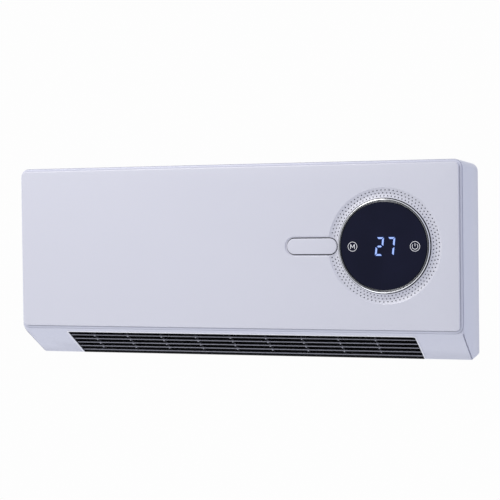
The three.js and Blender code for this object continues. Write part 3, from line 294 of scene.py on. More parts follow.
def metalFinish(name, colour, other, roughness, stretch=(1, 1, 1), scale=300, depth=0.00002):
    material, tree, shader = startFinish(name, colour, roughness, 1.0)
    tint(tree, shader, noiseOf(tree, 50, 3), colour, other)
    varyRoughness(tree, shader, noiseOf(tree, scale, 3, stretch), roughness * 0.7, roughness * 1.4)
    grain(tree, shader, noiseOf(tree, scale * 2, 2, stretch), 0.15, depth)
    return material


def glowing(name, base, colour, strength):
    material, tree, shader = startFinish(name, base, 0.3, 0.0, 0.2)
    fill(shader, {"Emission Color": (*colour, 1), "Emission Strength": strength})
    grain(tree, shader, noiseOf(tree, 900, 1), 0.05, 0.00001)
    return material


mouldedValues = {
    # colour, other colour, roughness, size and depth of the grain, specular
    "casing": ((0.604, 0.611, 0.700), (0.614, 0.619, 0.708), 0.32, 0.0012, 0.000004, 0.45),
    "panel": ((0.636, 0.636, 0.705), (0.646, 0.645, 0.713), 0.24, 0.0016, 0.000003, 0.5),
    "grille": ((0.25, 0.25, 0.29), (0.29, 0.29, 0.33), 0.36, 0.0008, 0.00001, 0.45),
    "dark_moulding": ((0.006, 0.006, 0.007), (0.010, 0.010, 0.012), 0.62, 0.0008, 0.00002, 0.2),
    "white_nylon": ((0.62, 0.62, 0.57), (0.68, 0.68, 0.63), 0.5, 0.0008, 0.00001, 0.4),
    "relay_blue": ((0.03, 0.09, 0.28), (0.04, 0.11, 0.32), 0.4, 0.0008, 0.00001, 0.4),
    "black_plastic": ((0.011, 0.011, 0.013), (0.017, 0.017, 0.019), 0.5, 0.0008, 0.00002, 0.35),
    "rubber": ((0.014, 0.014, 0.015), (0.022, 0.022, 0.023), 0.8, 0.0006, 0.00003, 0.25),
    "red_sleeve": ((0.26, 0.02, 0.015), (0.32, 0.03, 0.02), 0.5, 0.0006, 0.00001, 0.35),
    "blue_sleeve": ((0.02, 0.05, 0.24), (0.03, 0.07, 0.3), 0.5, 0.0006, 0.00001, 0.35),
    # rim is much lighter than the casing: a painted highlight along the outlet's edge
    "rim": ((0.88, 0.88, 0.92), (0.90, 0.90, 0.94), 0.18, 0.0012, 0.000003, 0.5),
}
metalValues = {
    # colour, other colour, roughness, stretch and scale of the noise, depth
    "chrome": ((0.93, 0.93, 0.94), (0.90, 0.90, 0.92), 0.09, (1, 1, 1), 40, 0.000001),
    "aluminium": ((0.55, 0.56, 0.58), (0.62, 0.63, 0.65), 0.38, (1, 12, 1)),
    "steel": ((0.42, 0.43, 0.45), (0.50, 0.51, 0.53), 0.32, (1, 8, 8)),
    "bronze": ((0.42, 0.25, 0.10), (0.48, 0.30, 0.13), 0.4),
}
glowValues = {
    # colour, colour of the light, strength
    "digit_glow": ((0.05, 0.08, 0.2), (0.42, 0.58, 1.0), 0.88),
    "digit_halo": ((0.01, 0.02, 0.08), (0.03, 0.075, 0.42), 0.5),
    # the marks are print, yet they glow: painted light on the print
    "mark_print": ((0.5, 0.5, 0.52), (0.66, 0.66, 0.70), 0.62),
}


def makeLensFinish():
    material, tree, shader = startFinish("display_lens", (0.0075, 0.0085, 0.023), 0.06, 0.0, 0.12)
    tint(tree, shader, noiseOf(tree, 25, 2), (0.0068, 0.0078, 0.021), (0.0082, 0.0092, 0.025))
    varyRoughness(tree, shader, noiseOf(tree, 70, 4), 0.05, 0.09)
    return material


def makeBoardFinish():
    # solder mask with a faint pattern of tracks under it
    mask = (0.02, 0.12, 0.05)
    material, tree, shader = startFinish("circuit_board", mask, 0.4)
    place = addNode(tree, "ShaderNodeTexCoord")
    tracks = addNode(tree, "ShaderNodeTexBrick", {
        "Scale": 160, "Mortar Size": 0.035, "Color1": (*mask, 1),
        "Color2": (0.022, 0.135, 0.055, 1), "Mortar": (0.04, 0.2, 0.09, 1)})
    tree.links.new(place.outputs["Object"], tracks.inputs["Vector"])
    tree.links.new(tracks.outputs["Color"], shader.inputs["Base Color"])
    grain(tree, shader, tracks.outputs["Fac"], 0.2, 0.00003)
    return material


finishes = {"display_lens": makeLensFinish(), "circuit_board": makeBoardFinish()}
for make, table in ((moulded, mouldedValues), (metalFinish, metalValues), (glowing, glowValues)):
    for finishName, values in table.items():
        finishes[finishName] = make(finishName, *values)
print("finishes made")


casing = inMetres({
    "sideDraft": 2, "topDraft": 2, "lowDraft": 1, "topCorner": 10, "lowCorner": 5, "crease": 1.5,
    "frontLow": 5, "frontLowRun": 10, "frontRound": 1, "backRound": 1.2, "edge": 0.3,
    "shadowLine": 0.6, "shadowDepth": 0.8,
    "lipProud": 1.5, "lipInset": 0.7, "lipWidth": 2.5, "lipRound": 2.1, "lipDome": 0.85,
    "wall": 2.6, "frontWall": 2.4, "panelRecess": 3.6, "pocketCorner": 6,
    "slopeRise": 33, "slopeRun": 53,
    "outletTop": 7.5, "outletLow": 1.2, "outletSide": 57.5, "outletCorner": 2.6,
    "outletFrom": -6, "outletTo": 4,
    "rimWidth": 1.6, "rimHeight": 1.1, "rimSunk": 0.05,
    "intakeSide": 75, "intakeFront": -78, "intakeBack": -22, "intakeDepth": 8,
    "grooveWidth": 1.2, "grooveDepth": 2.2, "grooveIn": 0.45, "grooveStart": 1.3, "grooveReach": 2,
    "displayStep": 3.9, "displayBack": 85, "displayFront": 94, "keyGap": 1, "bushHole": 7.2, "bushCut": 8,
})
lipFrontY = shellLow.y
frontY = lipFrontY + casing["lipProud"]
halfWidth = round(shellHigh.x, 3)
topZ = round(shellHigh.z, 3)
lowZ = round(shellLow.z, 3)
slopeTopZ = lowZ + casing["slopeRise"]
slopeAngle = atan2(casing["slopeRise"], casing["slopeRun"])
slopeLength = hypot(casing["slopeRise"], casing["slopeRun"])
kneeY = frontY + casing["slopeRun"]  # where the slope meets the flat bottom
recessY = lipFrontY + casing["panelRecess"]
cavityFrontY = recessY + casing["frontWall"]


def slopePoint(x, down, inwards):
    # a point told by its distance down the outlet slope and inwards from it
    return (x, frontY + down * cos(slopeAngle) + inwards * sin(slopeAngle),
            slopeTopZ - down * sin(slopeAngle) + inwards * cos(slopeAngle))


def caseRing(y, inset, lowRadius, highRadius):
    lean = 1 + y / -lipFrontY
    half = halfWidth - casing["sideDraft"] * lean - inset
    high = topZ - casing["topDraft"] * lean - inset
    floor = lowZ + casing["lowDraft"] * max(0, 1 + y / -kneeY) + inset
    slope = slopeTopZ - (y - frontY) * casing["slopeRise"] / casing["slopeRun"] + inset / cos(slopeAngle)
    return cornerRing(y, half, max(floor, slope), high, lowRadius, highRadius)


def frontRing(y, reach, corner):
    # a rounded rectangle that lies a certain way inside the front face
    return cornerRing(y, halfWidth - reach, slopeTopZ + reach, topZ - reach, corner, corner)


def outletOutline():
    # the opening in the slope, as (x, down) pairs, with its two upper corners rounded
    c = casing
    corner = c["outletCorner"]
    x, top, low = halfWidth - c["outletSide"], c["outletTop"], slopeLength - c["outletLow"]
    left = arc(-x + corner, top + corner, corner, 180, 90, 8)
    return [(x, low), (-x, low)] + left + arc(x - corner, top + corner, corner, 270, 90, 8)


def makeOutletRim():
    # a low bead along the top and the ends of the opening, in a light finish that is a painted highlight
    c = casing
    path = outletOutline()
    path = path[1:] + path[:1]

    def build(bm):
        rings = []
        for i, (x, down) in enumerate(path):
            before, after = path[max(0, i - 1)], path[min(len(path) - 1, i + 1)]
            along = Vector((after[0] - before[0], after[1] - before[1])).normalized()
            away = Vector((along.y, -along.x))
            ring = []
            for j in range(9):
                angle = radians(180 * j / 8)
                reach = c["rimSunk"] + c["rimWidth"] / 2 * (1 - cos(angle))
                rise = c["rimHeight"] * sin(angle)
                ring.append(slopePoint(x + away.x * reach, down + away.y * reach, -rise + c["rimSunk"]))
            rings.append(ring)
        skin(bm, rings)

    # the light finish is a painted highlight
    dress(newPiece("outlet_rim_highlight", build), "casing", finish="rim")


def makeCasing():
    c = casing

    def outer(bm):
        top, edge, front = c["topCorner"], c["backRound"], c["frontRound"]
        rings = []
        for inwards, back in reversed(quarter(3)):
            rings.append(caseRing(-back * edge, inwards * edge, c["lowCorner"], top))
        rings.append(caseRing(kneeY, 0, c["crease"] * 1.2, top))
        for i in range(6, 0, -1):
            share = i / 6
            radius = c["crease"] + (c["frontLow"] - c["crease"]) * (1 - share) ** 2
            rings.append(caseRing(frontY + front + share * (c["frontLowRun"] - front), 0, radius, top))
        for inwards, back in quarter(4):
            inset = inwards * front
            rings.append(caseRing(frontY + back * front, inset, c["frontLow"] - inset, top - inset))
        skin(bm, rings)

    def lip(bm):
        corner = c["topCorner"] - c["lipInset"]
        rings = [frontRing(recessY, c["lipInset"], corner)]
        for inwards, back in quarter(6):
            inset = inwards * c["lipRound"]
            rings.append(frontRing(lipFrontY + back * c["lipDome"], c["lipInset"] + inset, corner - inset))
        skin(bm, rings)

    def pocket(bm):
        reach = c["lipInset"] + c["lipWidth"]
        skin(bm, [frontRing(y, reach, c["pocketCorner"]) for y in (recessY, lipFrontY - c["lipProud"])])

    def cavity(bm):
        w = c["wall"]
        turnY = kneeY - w * (1 / cos(slopeAngle) - 1) / c["slopeRise"] * c["slopeRun"]
        corner = c["topCorner"] - w
        skin(bm, [
            caseRing(c["backRound"], w, c["lowCorner"] - w, corner),
            caseRing(turnY, w, c["crease"], corner),
            caseRing(cavityFrontY, w, c["crease"], corner),
        ])

    def shadowLine(bm):
        # a fine groove round the foot of the lip
        reach, width = c["lipInset"], c["shadowLine"]
        near, far = reach - 0.7 * width, reach + 0.3 * width
        fromY, toY = frontY - 0.25 * width, frontY + c["shadowDepth"]
        corners = ((near, fromY), (near, toY), (far, toY), (far, fromY))
        skin(bm, [frontRing(y, reach, c["topCorner"] - reach) for reach, y in corners], looped=True)

    def outlet(bm):
        slab(bm, outletOutline(), slopePoint, c["outletFrom"], c["outletTo"])

    def intake(bm):
        x = halfWidth - c["intakeSide"]
        corners = rectangle(-x, x, c["intakeFront"], c["intakeBack"])
        slab(bm, corners, levelPoint, topZ - c["intakeDepth"], topZ + past)

    def displayHole(bm):
        drum(bm, displayMid, toFront, ringRadius - c["displayStep"], c["displayBack"], c["displayFront"], 96)

    def keyWindow(bm):
        gap = 2 * c["keyGap"]
        length, height = keyHigh.x - keyLow.x + gap, keyHigh.z - keyLow.z + gap
        skin(bm, [pillRing(y, length, height) for y in (recessY - past, cavityFrontY + past)])

    def bushHole(bm):
        middle = Vector((bushMid.x, bushMid.y, lowZ - 2 * past))
        drum(bm, middle, upwards, c["bushHole"], 0, c["bushCut"], 48)

    def groove(side):
        # a slit in the slope that runs down beside each end of the casing
        def cut(bm):
            rings = []
            for down in (c["grooveStart"], slopeLength + c["grooveReach"]):
                lean = 1 + slopePoint(0, down, 0)[1] / -lipFrontY
                edge = halfWidth - c["sideDraft"] * lean - c["grooveIn"]
                corners = rectangle(edge - c["grooveWidth"], edge, -past, c["grooveDepth"])
                rings.append([slopePoint(side * x, down, inwards) for x, inwards in corners])
            skin(bm, rings)
        return cut

    piece = newPiece("casing", outer)
    weld(piece, lip)
    carve(piece, cavity, pocket, shadowLine, outlet, intake, displayHole, keyWindow, bushHole,
          groove(1), groove(-1))
    soften(piece, c["edge"])
    dress(piece, "casing", hides=["housing_shell"])


makeCasing()
makeOutletRim()
print("casing made")


panel = {
    "dishSteps": 252, "dishRings": 40, "outerCurve": 1.7, "innerCurve": 1.6,
    "dimpleRows": 3, "dimpleCount": 84, "dimpleShift": 0.36, "dimpleSides": 14,
    **inMetres({
        "thickness": 3.1, "edgeRound": 1.2, "corner": 5.2, "skirt": 2.2, "skirtTop": 0.3,
        "topGap": 0.12, "grow": 0.35, "growSide": 0.6, "padWidth": 2.6,
        "dishRadius": 66, "dishDepth": 2, "dishEdge": 54.25, "dishEdgeDepth": 0.65, "dishLow": 59.3,
        "rimFoot": 65, "rimDepth": 0.6,
        "firstDimple": 56.5, "dimplePitch": 3.25, "dimpleRadius": 0.76, "dimpleDepth": 1,
        "pipRadius": 0.55, "pipDepth": 0.75, "pipThick": 0.6,
        "holeGap": 0.3, "keySeam": 1.15, "keyEnd": 0.7, "surround": 2.7, "surroundDepth": 1.1,
        "shadeIn": 0.06, "shadeFrom": 0.9, "shadeTo": 1.5, "flangeGap": 0.6,
        "studRadius": 2.5, "studInset": 26, "studRound": 0.6,
    }),
}
panelFrontY = panelLow.y
panelBackY = panelFrontY + panel["thickness"]
keyFlange = 1.6 * mm  # how far the key's flange reaches behind the panel
keyLength = keyHigh.x - keyLow.x - 2 * keyFlange
keyHeight = keyHigh.z - keyLow.z - 2 * keyFlange
sleeveRadius = ringRadius - 2.6 * mm  # the ring's sleeve passes through the panel


def displayAxis(y):
    return Vector((displayMid.x, y, displayMid.z))


def dishDepthAt(radius):
    # an annular trough: it falls away from the ring, then rises to a low sharp rim
    p = panel
    if radius >= p["rimFoot"]:
        return p["rimDepth"] * (p["dishRadius"] - radius) / (p["dishRadius"] - p["rimFoot"])
    if radius > p["dishLow"]:
        share = (radius - p["dishLow"]) / (p["rimFoot"] - p["dishLow"])
        return p["dishDepth"] - (p["dishDepth"] - p["rimDepth"]) * share ** p["outerCurve"]
    share = (p["dishLow"] - radius) / (p["dishLow"] - p["dishEdge"])
    return p["dishDepth"] - (p["dishDepth"] - p["dishEdgeDepth"]) * share ** p["innerCurve"]


def makePanel():
    p = panel
    pocketTop = topZ - casing["lipInset"] - casing["lipWidth"]
    surroundY = panelFrontY + p["surroundDepth"]

    def panelRing(y, inset):
        corner = p["corner"] - inset
        top = pocketTop - p["topGap"] - inset
        half, low = panelHigh.x + p["growSide"] - inset, panelLow.z - p["grow"] + inset
        return cornerRing(y, half, low, top, corner, corner)

    def block(bm):
        rings = [panelRing(recessY - p["skirtTop"], 0)]
        for inwards, back in quarter(5):
            rings.append(panelRing(panelFrontY + back * p["edgeRound"], inwards * p["edgeRound"]))
        skin(bm, rings)

    def hollow(bm):
        skin(bm, [panelRing(y, p["skirt"]) for y in (panelBackY, recessY + past)])

    def pad(bm):
        # the dish keeps a solid back
        radius = p["dishRadius"] + p["padWidth"]
        drum(bm, displayMid, toWall, radius, panelBackY - past, recessY + 2 * past, 96)

    def dish(bm):
        reach = p["dishRadius"] - p["dishEdge"]
        radii = [p["dishRadius"] - reach * i / p["dishRings"] for i in range(p["dishRings"] + 1)]
        profile = [(0, -past), (p["dishRadius"], -past)]
        profile += [(radius, dishDepthAt(radius)) for radius in radii]
        profile += [(p["dishEdge"], p["dishDepth"]), (0, p["dishDepth"])]
        turn(bm, displayAxis(panelFrontY), toWall, profile, p["dishSteps"])

    def dimplePlaces():
        for row in range(p["dimpleRows"]):
            ring = p["firstDimple"] + row * p["dimplePitch"]
            depth = panelFrontY + dishDepthAt(ring)
            for i in range(p["dimpleCount"]):
                angle = 2 * pi * (i + p["dimpleShift"] * row) / p["dimpleCount"]
                middle = Vector((displayMid.x + ring * cos(angle), depth, displayMid.z + ring * sin(angle)))
                along = max(0, abs(middle.x - keyMid.x) - (keyLength - keyHeight) / 2)
                if hypot(along, middle.z - keyMid.z) > keyHeight / 2 + p["surround"] + 1 * mm:
                    yield middle

    def atDimples(profile, sides):
        def build(bm):
            for middle in dimplePlaces():
                turn(bm, middle, toWall, profile, sides)
        return build

    def displayHole(bm):
        radius = sleeveRadius + p["holeGap"]
        drum(bm, displayMid, toWall, radius, panelFrontY - 2 * past, recessY + 3 * past, 168)

    def surround(bm):
        # the sloped edge of the panel round the key
        floor = 2 * p["keySeam"] + 1 * mm
        grow = 2 * p["surround"]
        skin(bm, [pillRing(y, keyLength + wide, keyHeight + wide) for y, wide in (
            (panelFrontY - past, grow), (panelFrontY, grow),
            (panelFrontY + 0.35 * p["surroundDepth"], 0.8 * grow), (surroundY, floor))])

    def keyHole(fromY, endGap, gap):
        def cut(bm):
            length, height = keyLength + 2 * endGap, keyHeight + 2 * gap
            skin(bm, [pillRing(y, length, height) for y in (fromY, recessY + 3 * past)])
        return cut

    def seamShade(bm):
        # a dark frame that fills the foot of the key's seam: painted shade in the seam
        near, far = surroundY + p["shadeFrom"], surroundY + p["shadeTo"]
        rings = []
        for grow, y in rectangle(p["shadeIn"], p["keySeam"], near, far):
            rings.append(pillRing(y, keyLength + 2 * min(grow, p["keyEnd"]), keyHeight + 2 * grow))
        skin(bm, rings, looped=True)

    def studs(bm):
        r, slope, tip = p["studRadius"], p["studRound"], panelHigh.y
        profile = [(0, panelBackY), (r, panelBackY), (r, tip - slope), (r - slope, tip), (0, tip)]
        for x in (-1, 1):
            for z in (topZ - p["studInset"], slopeTopZ + p["studInset"]):
                turn(bm, Vector((x * (halfWidth - p["studInset"]), 0, z)), toWall, profile, 24)

    r, depth = p["dimpleRadius"], p["dimpleDepth"]
    dimples = atDimples([(0, -0.6 * mm), (r * 1.15, -0.6 * mm), (r, 0.1 * mm), (r * 0.8, depth),
                         (0, depth + 0.15 * mm)], p["dimpleSides"])
    # dark discs in the dimples, painted shade, so that each dimple reads as a small hole
    r, depth, back = p["pipRadius"], p["pipDepth"], p["pipDepth"] + p["pipThick"]
    dimpleShade = atDimples([(0, depth), (r, depth + 0.05 * mm), (r, back), (0, back)], 10)
    piece = newPiece("front_face", block)
    hollowed = newPiece("cutter", hollow)
    carve(hollowed, pad)
    combine(piece, hollowed, "DIFFERENCE")
    flangeGap = keyFlange + p["flangeGap"]
    seam = keyHole(panelFrontY - 2 * past, p["keyEnd"], p["keySeam"])
    carve(piece, dish, dimples, surround, displayHole, seam, keyHole(panelBackY, flangeGap, flangeGap))
    dress(piece, "panel", hides=["front_panel"], angle=24)
    # the dark discs are painted shade in the dimples
    dress(newPiece("dimple_shade_discs", dimpleShade), "dark_moulding")
    # painted shade in the key's seam
    dress(newPiece("key_seam_shade", seamShade), "dark_moulding")
    dress(newPiece("face_studs", studs), "panel")


makePanel()
print("front panel made")


display = {
    "turnSteps": 224, "digitLean": 0.105, "digitPlaces": {"2": -4.7 * mm, "7": 8.3 * mm},
    **inMetres({
        "lensEdge": 0.6, "digitHeight": 20.8, "digitWidth": 8.6, "stroke": 1.9, "gap": 0.75,
        "digitRise": -0.5, "digitHalo": 0.35, "markSpread": 36.2, "markRise": -0.5, "markLine": 0.5,
        "modeRadius": 5.2, "letterHalf": 2.3, "letterRise": 2.5, "letterDip": -1, "letterLine": 0.6,
        "powerRadius": 5.45, "arcRadius": 3.2, "powerBar": 3.6, "powerLine": 0.55,
        "printLift": 0.03, "printThickness": 0.05,
    }),
}
ringY = panelFrontY + panel["dishDepth"]  # the floor of the dish, where the ring stands
lensRadius = (lensHigh.x - lensLow.x) / 2
crown = (ringY - ringLow.y) / mm
printBack, printFront = display["printLift"], display["printLift"] + display["printThickness"]
ringShapes = {
    # millimetres: (radius, height over the dish) pairs, then the lens seat and the sleeve behind it
    "bezel": [(51.95, 0.3), (51.95, 2.5), (52.9, 2.7), (53.2, 2.95), (53.3, 3.2), (53.25, 3.5), (53, 3.85),
              (52.6, 4.1), (52.35, 4.2), (52.15, 4.15), (51.98, 3.95), (51.95, 3.7), (51.95, 2.9)],
    # the dark foot is painted shade under the bezel's edge
    "shadeFoot": [(52.2, 0.05), (54.2, 0.05), (54.2, 0.6), (53, 0.8), (52.9, 2.4), (52.2, 2.4)],
    "inner": [(51.85, 3), (51.85, 3.2), (51.4, 3.25), (51.4, 4.2), (51.3, 4.5), (51.1, crown - 0.2),
              (50.75, crown), (50.4, crown - 0.1), (50.25, crown - 0.4), (50.25, 3)],
    "line": [(50.9, crown - 0.5), (50.92, crown - 0.02), (51, crown + 0.04), (51.12, crown + 0.02),
             (51.2, crown - 0.08), (51.25, crown - 0.5)],
    "seat": 0.3, "seatWidth": 2.6, "seatHeight": 1.1, "seatBack": -0.3, "sleeveBack": -2.1, "sleeveWall": 2,
}


def displayPoint(u, v, depth):
    # u to the right and v up from the middle of the display, depth out from its lens
    return (displayMid.x + u, lensLow.y - depth, displayMid.z + v)


def makeRing():
    # a plated bezel round a dark inner frame, over a dark foot; the foot's dark is painted shade under the
    # bezel's edge, and the inner frame is a real dark part whose dark also stands in for the shade in the
    # groove beside the lens
    s = ringShapes
    bore = lensRadius / mm + s["seat"]
    sleeve = sleeveRadius / mm
    plated = s["bezel"] + [
        (bore, 2.9), (bore, s["seatHeight"]), (bore - s["seatWidth"], s["seatHeight"]),
        (bore - s["seatWidth"], s["seatBack"]), (sleeve - s["sleeveWall"], s["seatBack"]),
        (sleeve - s["sleeveWall"], s["sleeveBack"]), (sleeve, s["sleeveBack"]), (sleeve, 0.3),
    ]

    def shaped(shape):
        def build(bm):
            profile = [(radius * mm, height * mm) for radius, height in shape]
            turn(bm, displayAxis(ringY), toFront, profile, display["turnSteps"], looped=True)
        return build

    dress(newPiece("plated_ring", shaped(plated)), "chrome", hides=["chrome_ring"], angle=40)
    # painted shade under the bezel's edge
    dress(newPiece("ring_foot_shade", shaped(s["shadeFoot"])), "dark_moulding")
    # a dark frame, partly painted shade in the groove by the lens
    dress(newPiece("lens_frame_and_shade", shaped(s["inner"])), "black_plastic", angle=40)
    dress(newPiece("frame_line", shaped(s["line"])), "steel", angle=40)


def makeLens():
    edge = display["lensEdge"]
    thickness = lensHigh.y - lensLow.y

    def build(bm):
        profile = [(0, -thickness), (lensRadius, -thickness), (lensRadius, -edge)]
        profile += [(lensRadius - inwards * edge, -back * edge) for inwards, back in quarter(5)]
        profile.append((0, 0))
        turn(bm, displayAxis(lensLow.y), toFront, profile, display["turnSteps"])

    dress(newPiece("lens", build), "display_lens", hides=["display_glass"])


def segmentShapes():
    # the seven bars of a digit as outlines, with pointed ends
    gap, s = display["gap"], display["stroke"]
    w, h = display["digitWidth"] / 2, display["digitHeight"] / 2
    end, slim, point = w - gap, s / 2, s * 0.9

    def flat(v, up):
        # a bar along u whose longer side is on the outside of the digit
        inner = v - up * s
        return [(-end, v), (end, v), (end - point, inner), (-end + point, inner)]

    def tall(u, side, low, high):
        inner = u - side * s
        return [(u, low + gap), (u, high - gap), (inner, high - gap - point), (inner, low + gap + point)]

    middle = [(-end + slim, 0), (-end + s, slim), (end - s, slim), (end - slim, 0), (end - s, -slim),
              (-end + s, -slim)]
    return {
        "top": flat(h, 1), "low": flat(-h, -1), "middle": middle,
        "upperRight": tall(w, 1, 0, h), "lowerRight": tall(w, 1, -h, 0),
        "upperLeft": tall(-w, -1, 0, h), "lowerLeft": tall(-w, -1, -h, 0),
    }


litSegments = {
    "2": ("top", "upperRight", "middle", "lowerLeft", "low"),
    "7": ("top", "upperRight", "lowerRight"),
}


def grown(outline, width):
    # moves each corner away from the middle by up to a width each way
    u0 = sum(u for u, v in outline) / len(outline)
    v0 = sum(v for u, v in outline) / len(outline)
    return [(u + max(-width, min(width, u - u0)), v + max(-width, min(width, v - v0))) for u, v in outline]


def makeDigits(name, finish, growth, lift):
    d = display

    def build(bm):
        shapes = segmentShapes()
        for digit, place in d["digitPlaces"].items():
            for bar in litSegments[digit]:
                outline = grown(shapes[bar], growth)
                leaned = [(place + u + v * d["digitLean"], v + d["digitRise"]) for u, v in outline]
                slab(bm, leaned, displayPoint, lift, lift + d["printThickness"])

    dress(newPiece(name, build), "display_lens", finish)


def band(bm, u, v, radius, line, start=0, end=360, steps=64):
    # a flat ring or arc, printed
    whole = end - start >= 360
    section = rectangle(radius - line / 2, radius + line / 2, printBack, printFront)
    rings = []
    for i in range(steps if whole else steps + 1):
        angle = radians(start + (end - start) * i / steps)
        rings.append([displayPoint(u + r * cos(angle), v + r * sin(angle), depth) for r, depth in section])
    skin(bm, rings, looped=whole)


def stroke(bm, u0, v0, u1, v1, line):
    along = Vector((u1 - u0, v1 - v0)).normalized()
    across = Vector((-along.y, along.x)) * line / 2
    corners = [(u0 - across.x, v0 - across.y), (u1 - across.x, v1 - across.y),
               (u1 + across.x, v1 + across.y), (u0 + across.x, v0 + across.y)]
    slab(bm, corners, displayPoint, printBack, printFront)


def makeMarks():
    # a ringed M at the left and a ringed power mark at the right
    d = display
    v = d["markRise"]

    def mode(bm):
        u = -d["markSpread"]
        band(bm, u, v, d["modeRadius"], d["markLine"])
        w, h, dip = d["letterHalf"], d["letterRise"], d["letterDip"]
        for u0, v0, u1, v1 in ((-w, -h, -w, h), (-w, h, 0, dip), (0, dip, w, h), (w, h, w, -h)):
            stroke(bm, u + u0, v + v0, u + u1, v + v1, d["letterLine"])

    def power(bm):
        u = d["markSpread"]
        band(bm, u, v, d["powerRadius"], d["markLine"])
        band(bm, u, v, d["arcRadius"], d["powerLine"], start=136, end=408, steps=40)
        stroke(bm, u, v, u, v + d["powerBar"], d["powerLine"])

    # the printed marks glow, a painted light
    dress(newPiece("mode_mark", mode), "display_lens", "mark_print")
    dress(newPiece("power_mark", power), "display_lens", "mark_print")


makeRing()
makeLens()
haloLift = display["printLift"] / 3
makeDigits("digit_edges", "digit_halo", display["digitHalo"], haloLift)
makeDigits("digits_lit", "digit_glow", 0, haloLift + display["printThickness"])
makeMarks()
print("display made")


pushKey = inMetres({
    "rounding": 0.9, "flangeTop": 0.3, "flangeBack": 3.4, "stemRadius": 3, "stemRound": 0.4, "overlap": 0.2,
})


def makeKey():
    k = pushKey
    back = keyHigh.y - k["flangeBack"]

    def build(bm):
        wide = 2 * keyFlange
        top = panelBackY + k["flangeTop"]
        rings = [pillRing(y, keyLength + grow, keyHeight + grow)
                 for y, grow in ((back, wide), (top, wide), (top, 0))]
        for inwards, depth in quarter(5):
            inset = 2 * inwards * k["rounding"]
            rings.append(pillRing(keyLow.y + depth * k["rounding"], keyLength - inset, keyHeight - inset))
        skin(bm, rings)

    def stem(bm):
        r, tip, start = k["stemRadius"], keyHigh.y, back - k["overlap"]
        end = [(r, tip - k["stemRound"]), (r - k["stemRound"], tip), (0, tip)]
        turn(bm, keyMid, toWall, [(0, start), (r, start)] + end, 32)

    piece = newPiece("push_key", build)
    weld(piece, stem)
    dress(piece, "panel", body="key", hides=["pill_key"])


makeKey()
print("key made")


grille = {
    "slats": 5, "ribs": 9,
    **inMetres({
        "pitch": 9.7, "first": 18.1, "thick": 1.25, "thin": 0.9, "nose": 0.5, "setback": 0.4, "depth": 6.5,
        "ribPitch": 44.4, "ribShift": -9, "ribThick": 1.5, "ribFront": 2.4, "ribBack": 8.4,
        "gussetFront": 0.5, "gussetBack": 2.8, "gussetLength": 4.6, "gussetEdge": 0.3, "gussetRise": -0.1,
        "sideGap": 0.3, "shadeLiner": 0.2, "shadeLinerFront": 0.25, "flange": 1.6, "frame": 2, "frameGap": 0.3,
        "lapTop": 4, "lapLow": 2, "sillLap": 0.12, "sillProud": -0.15, "sillThick": 0.3, "sillIn": 5,
        "sillSeat": 0.02, "sillEdge": 1.6,
    }),
}


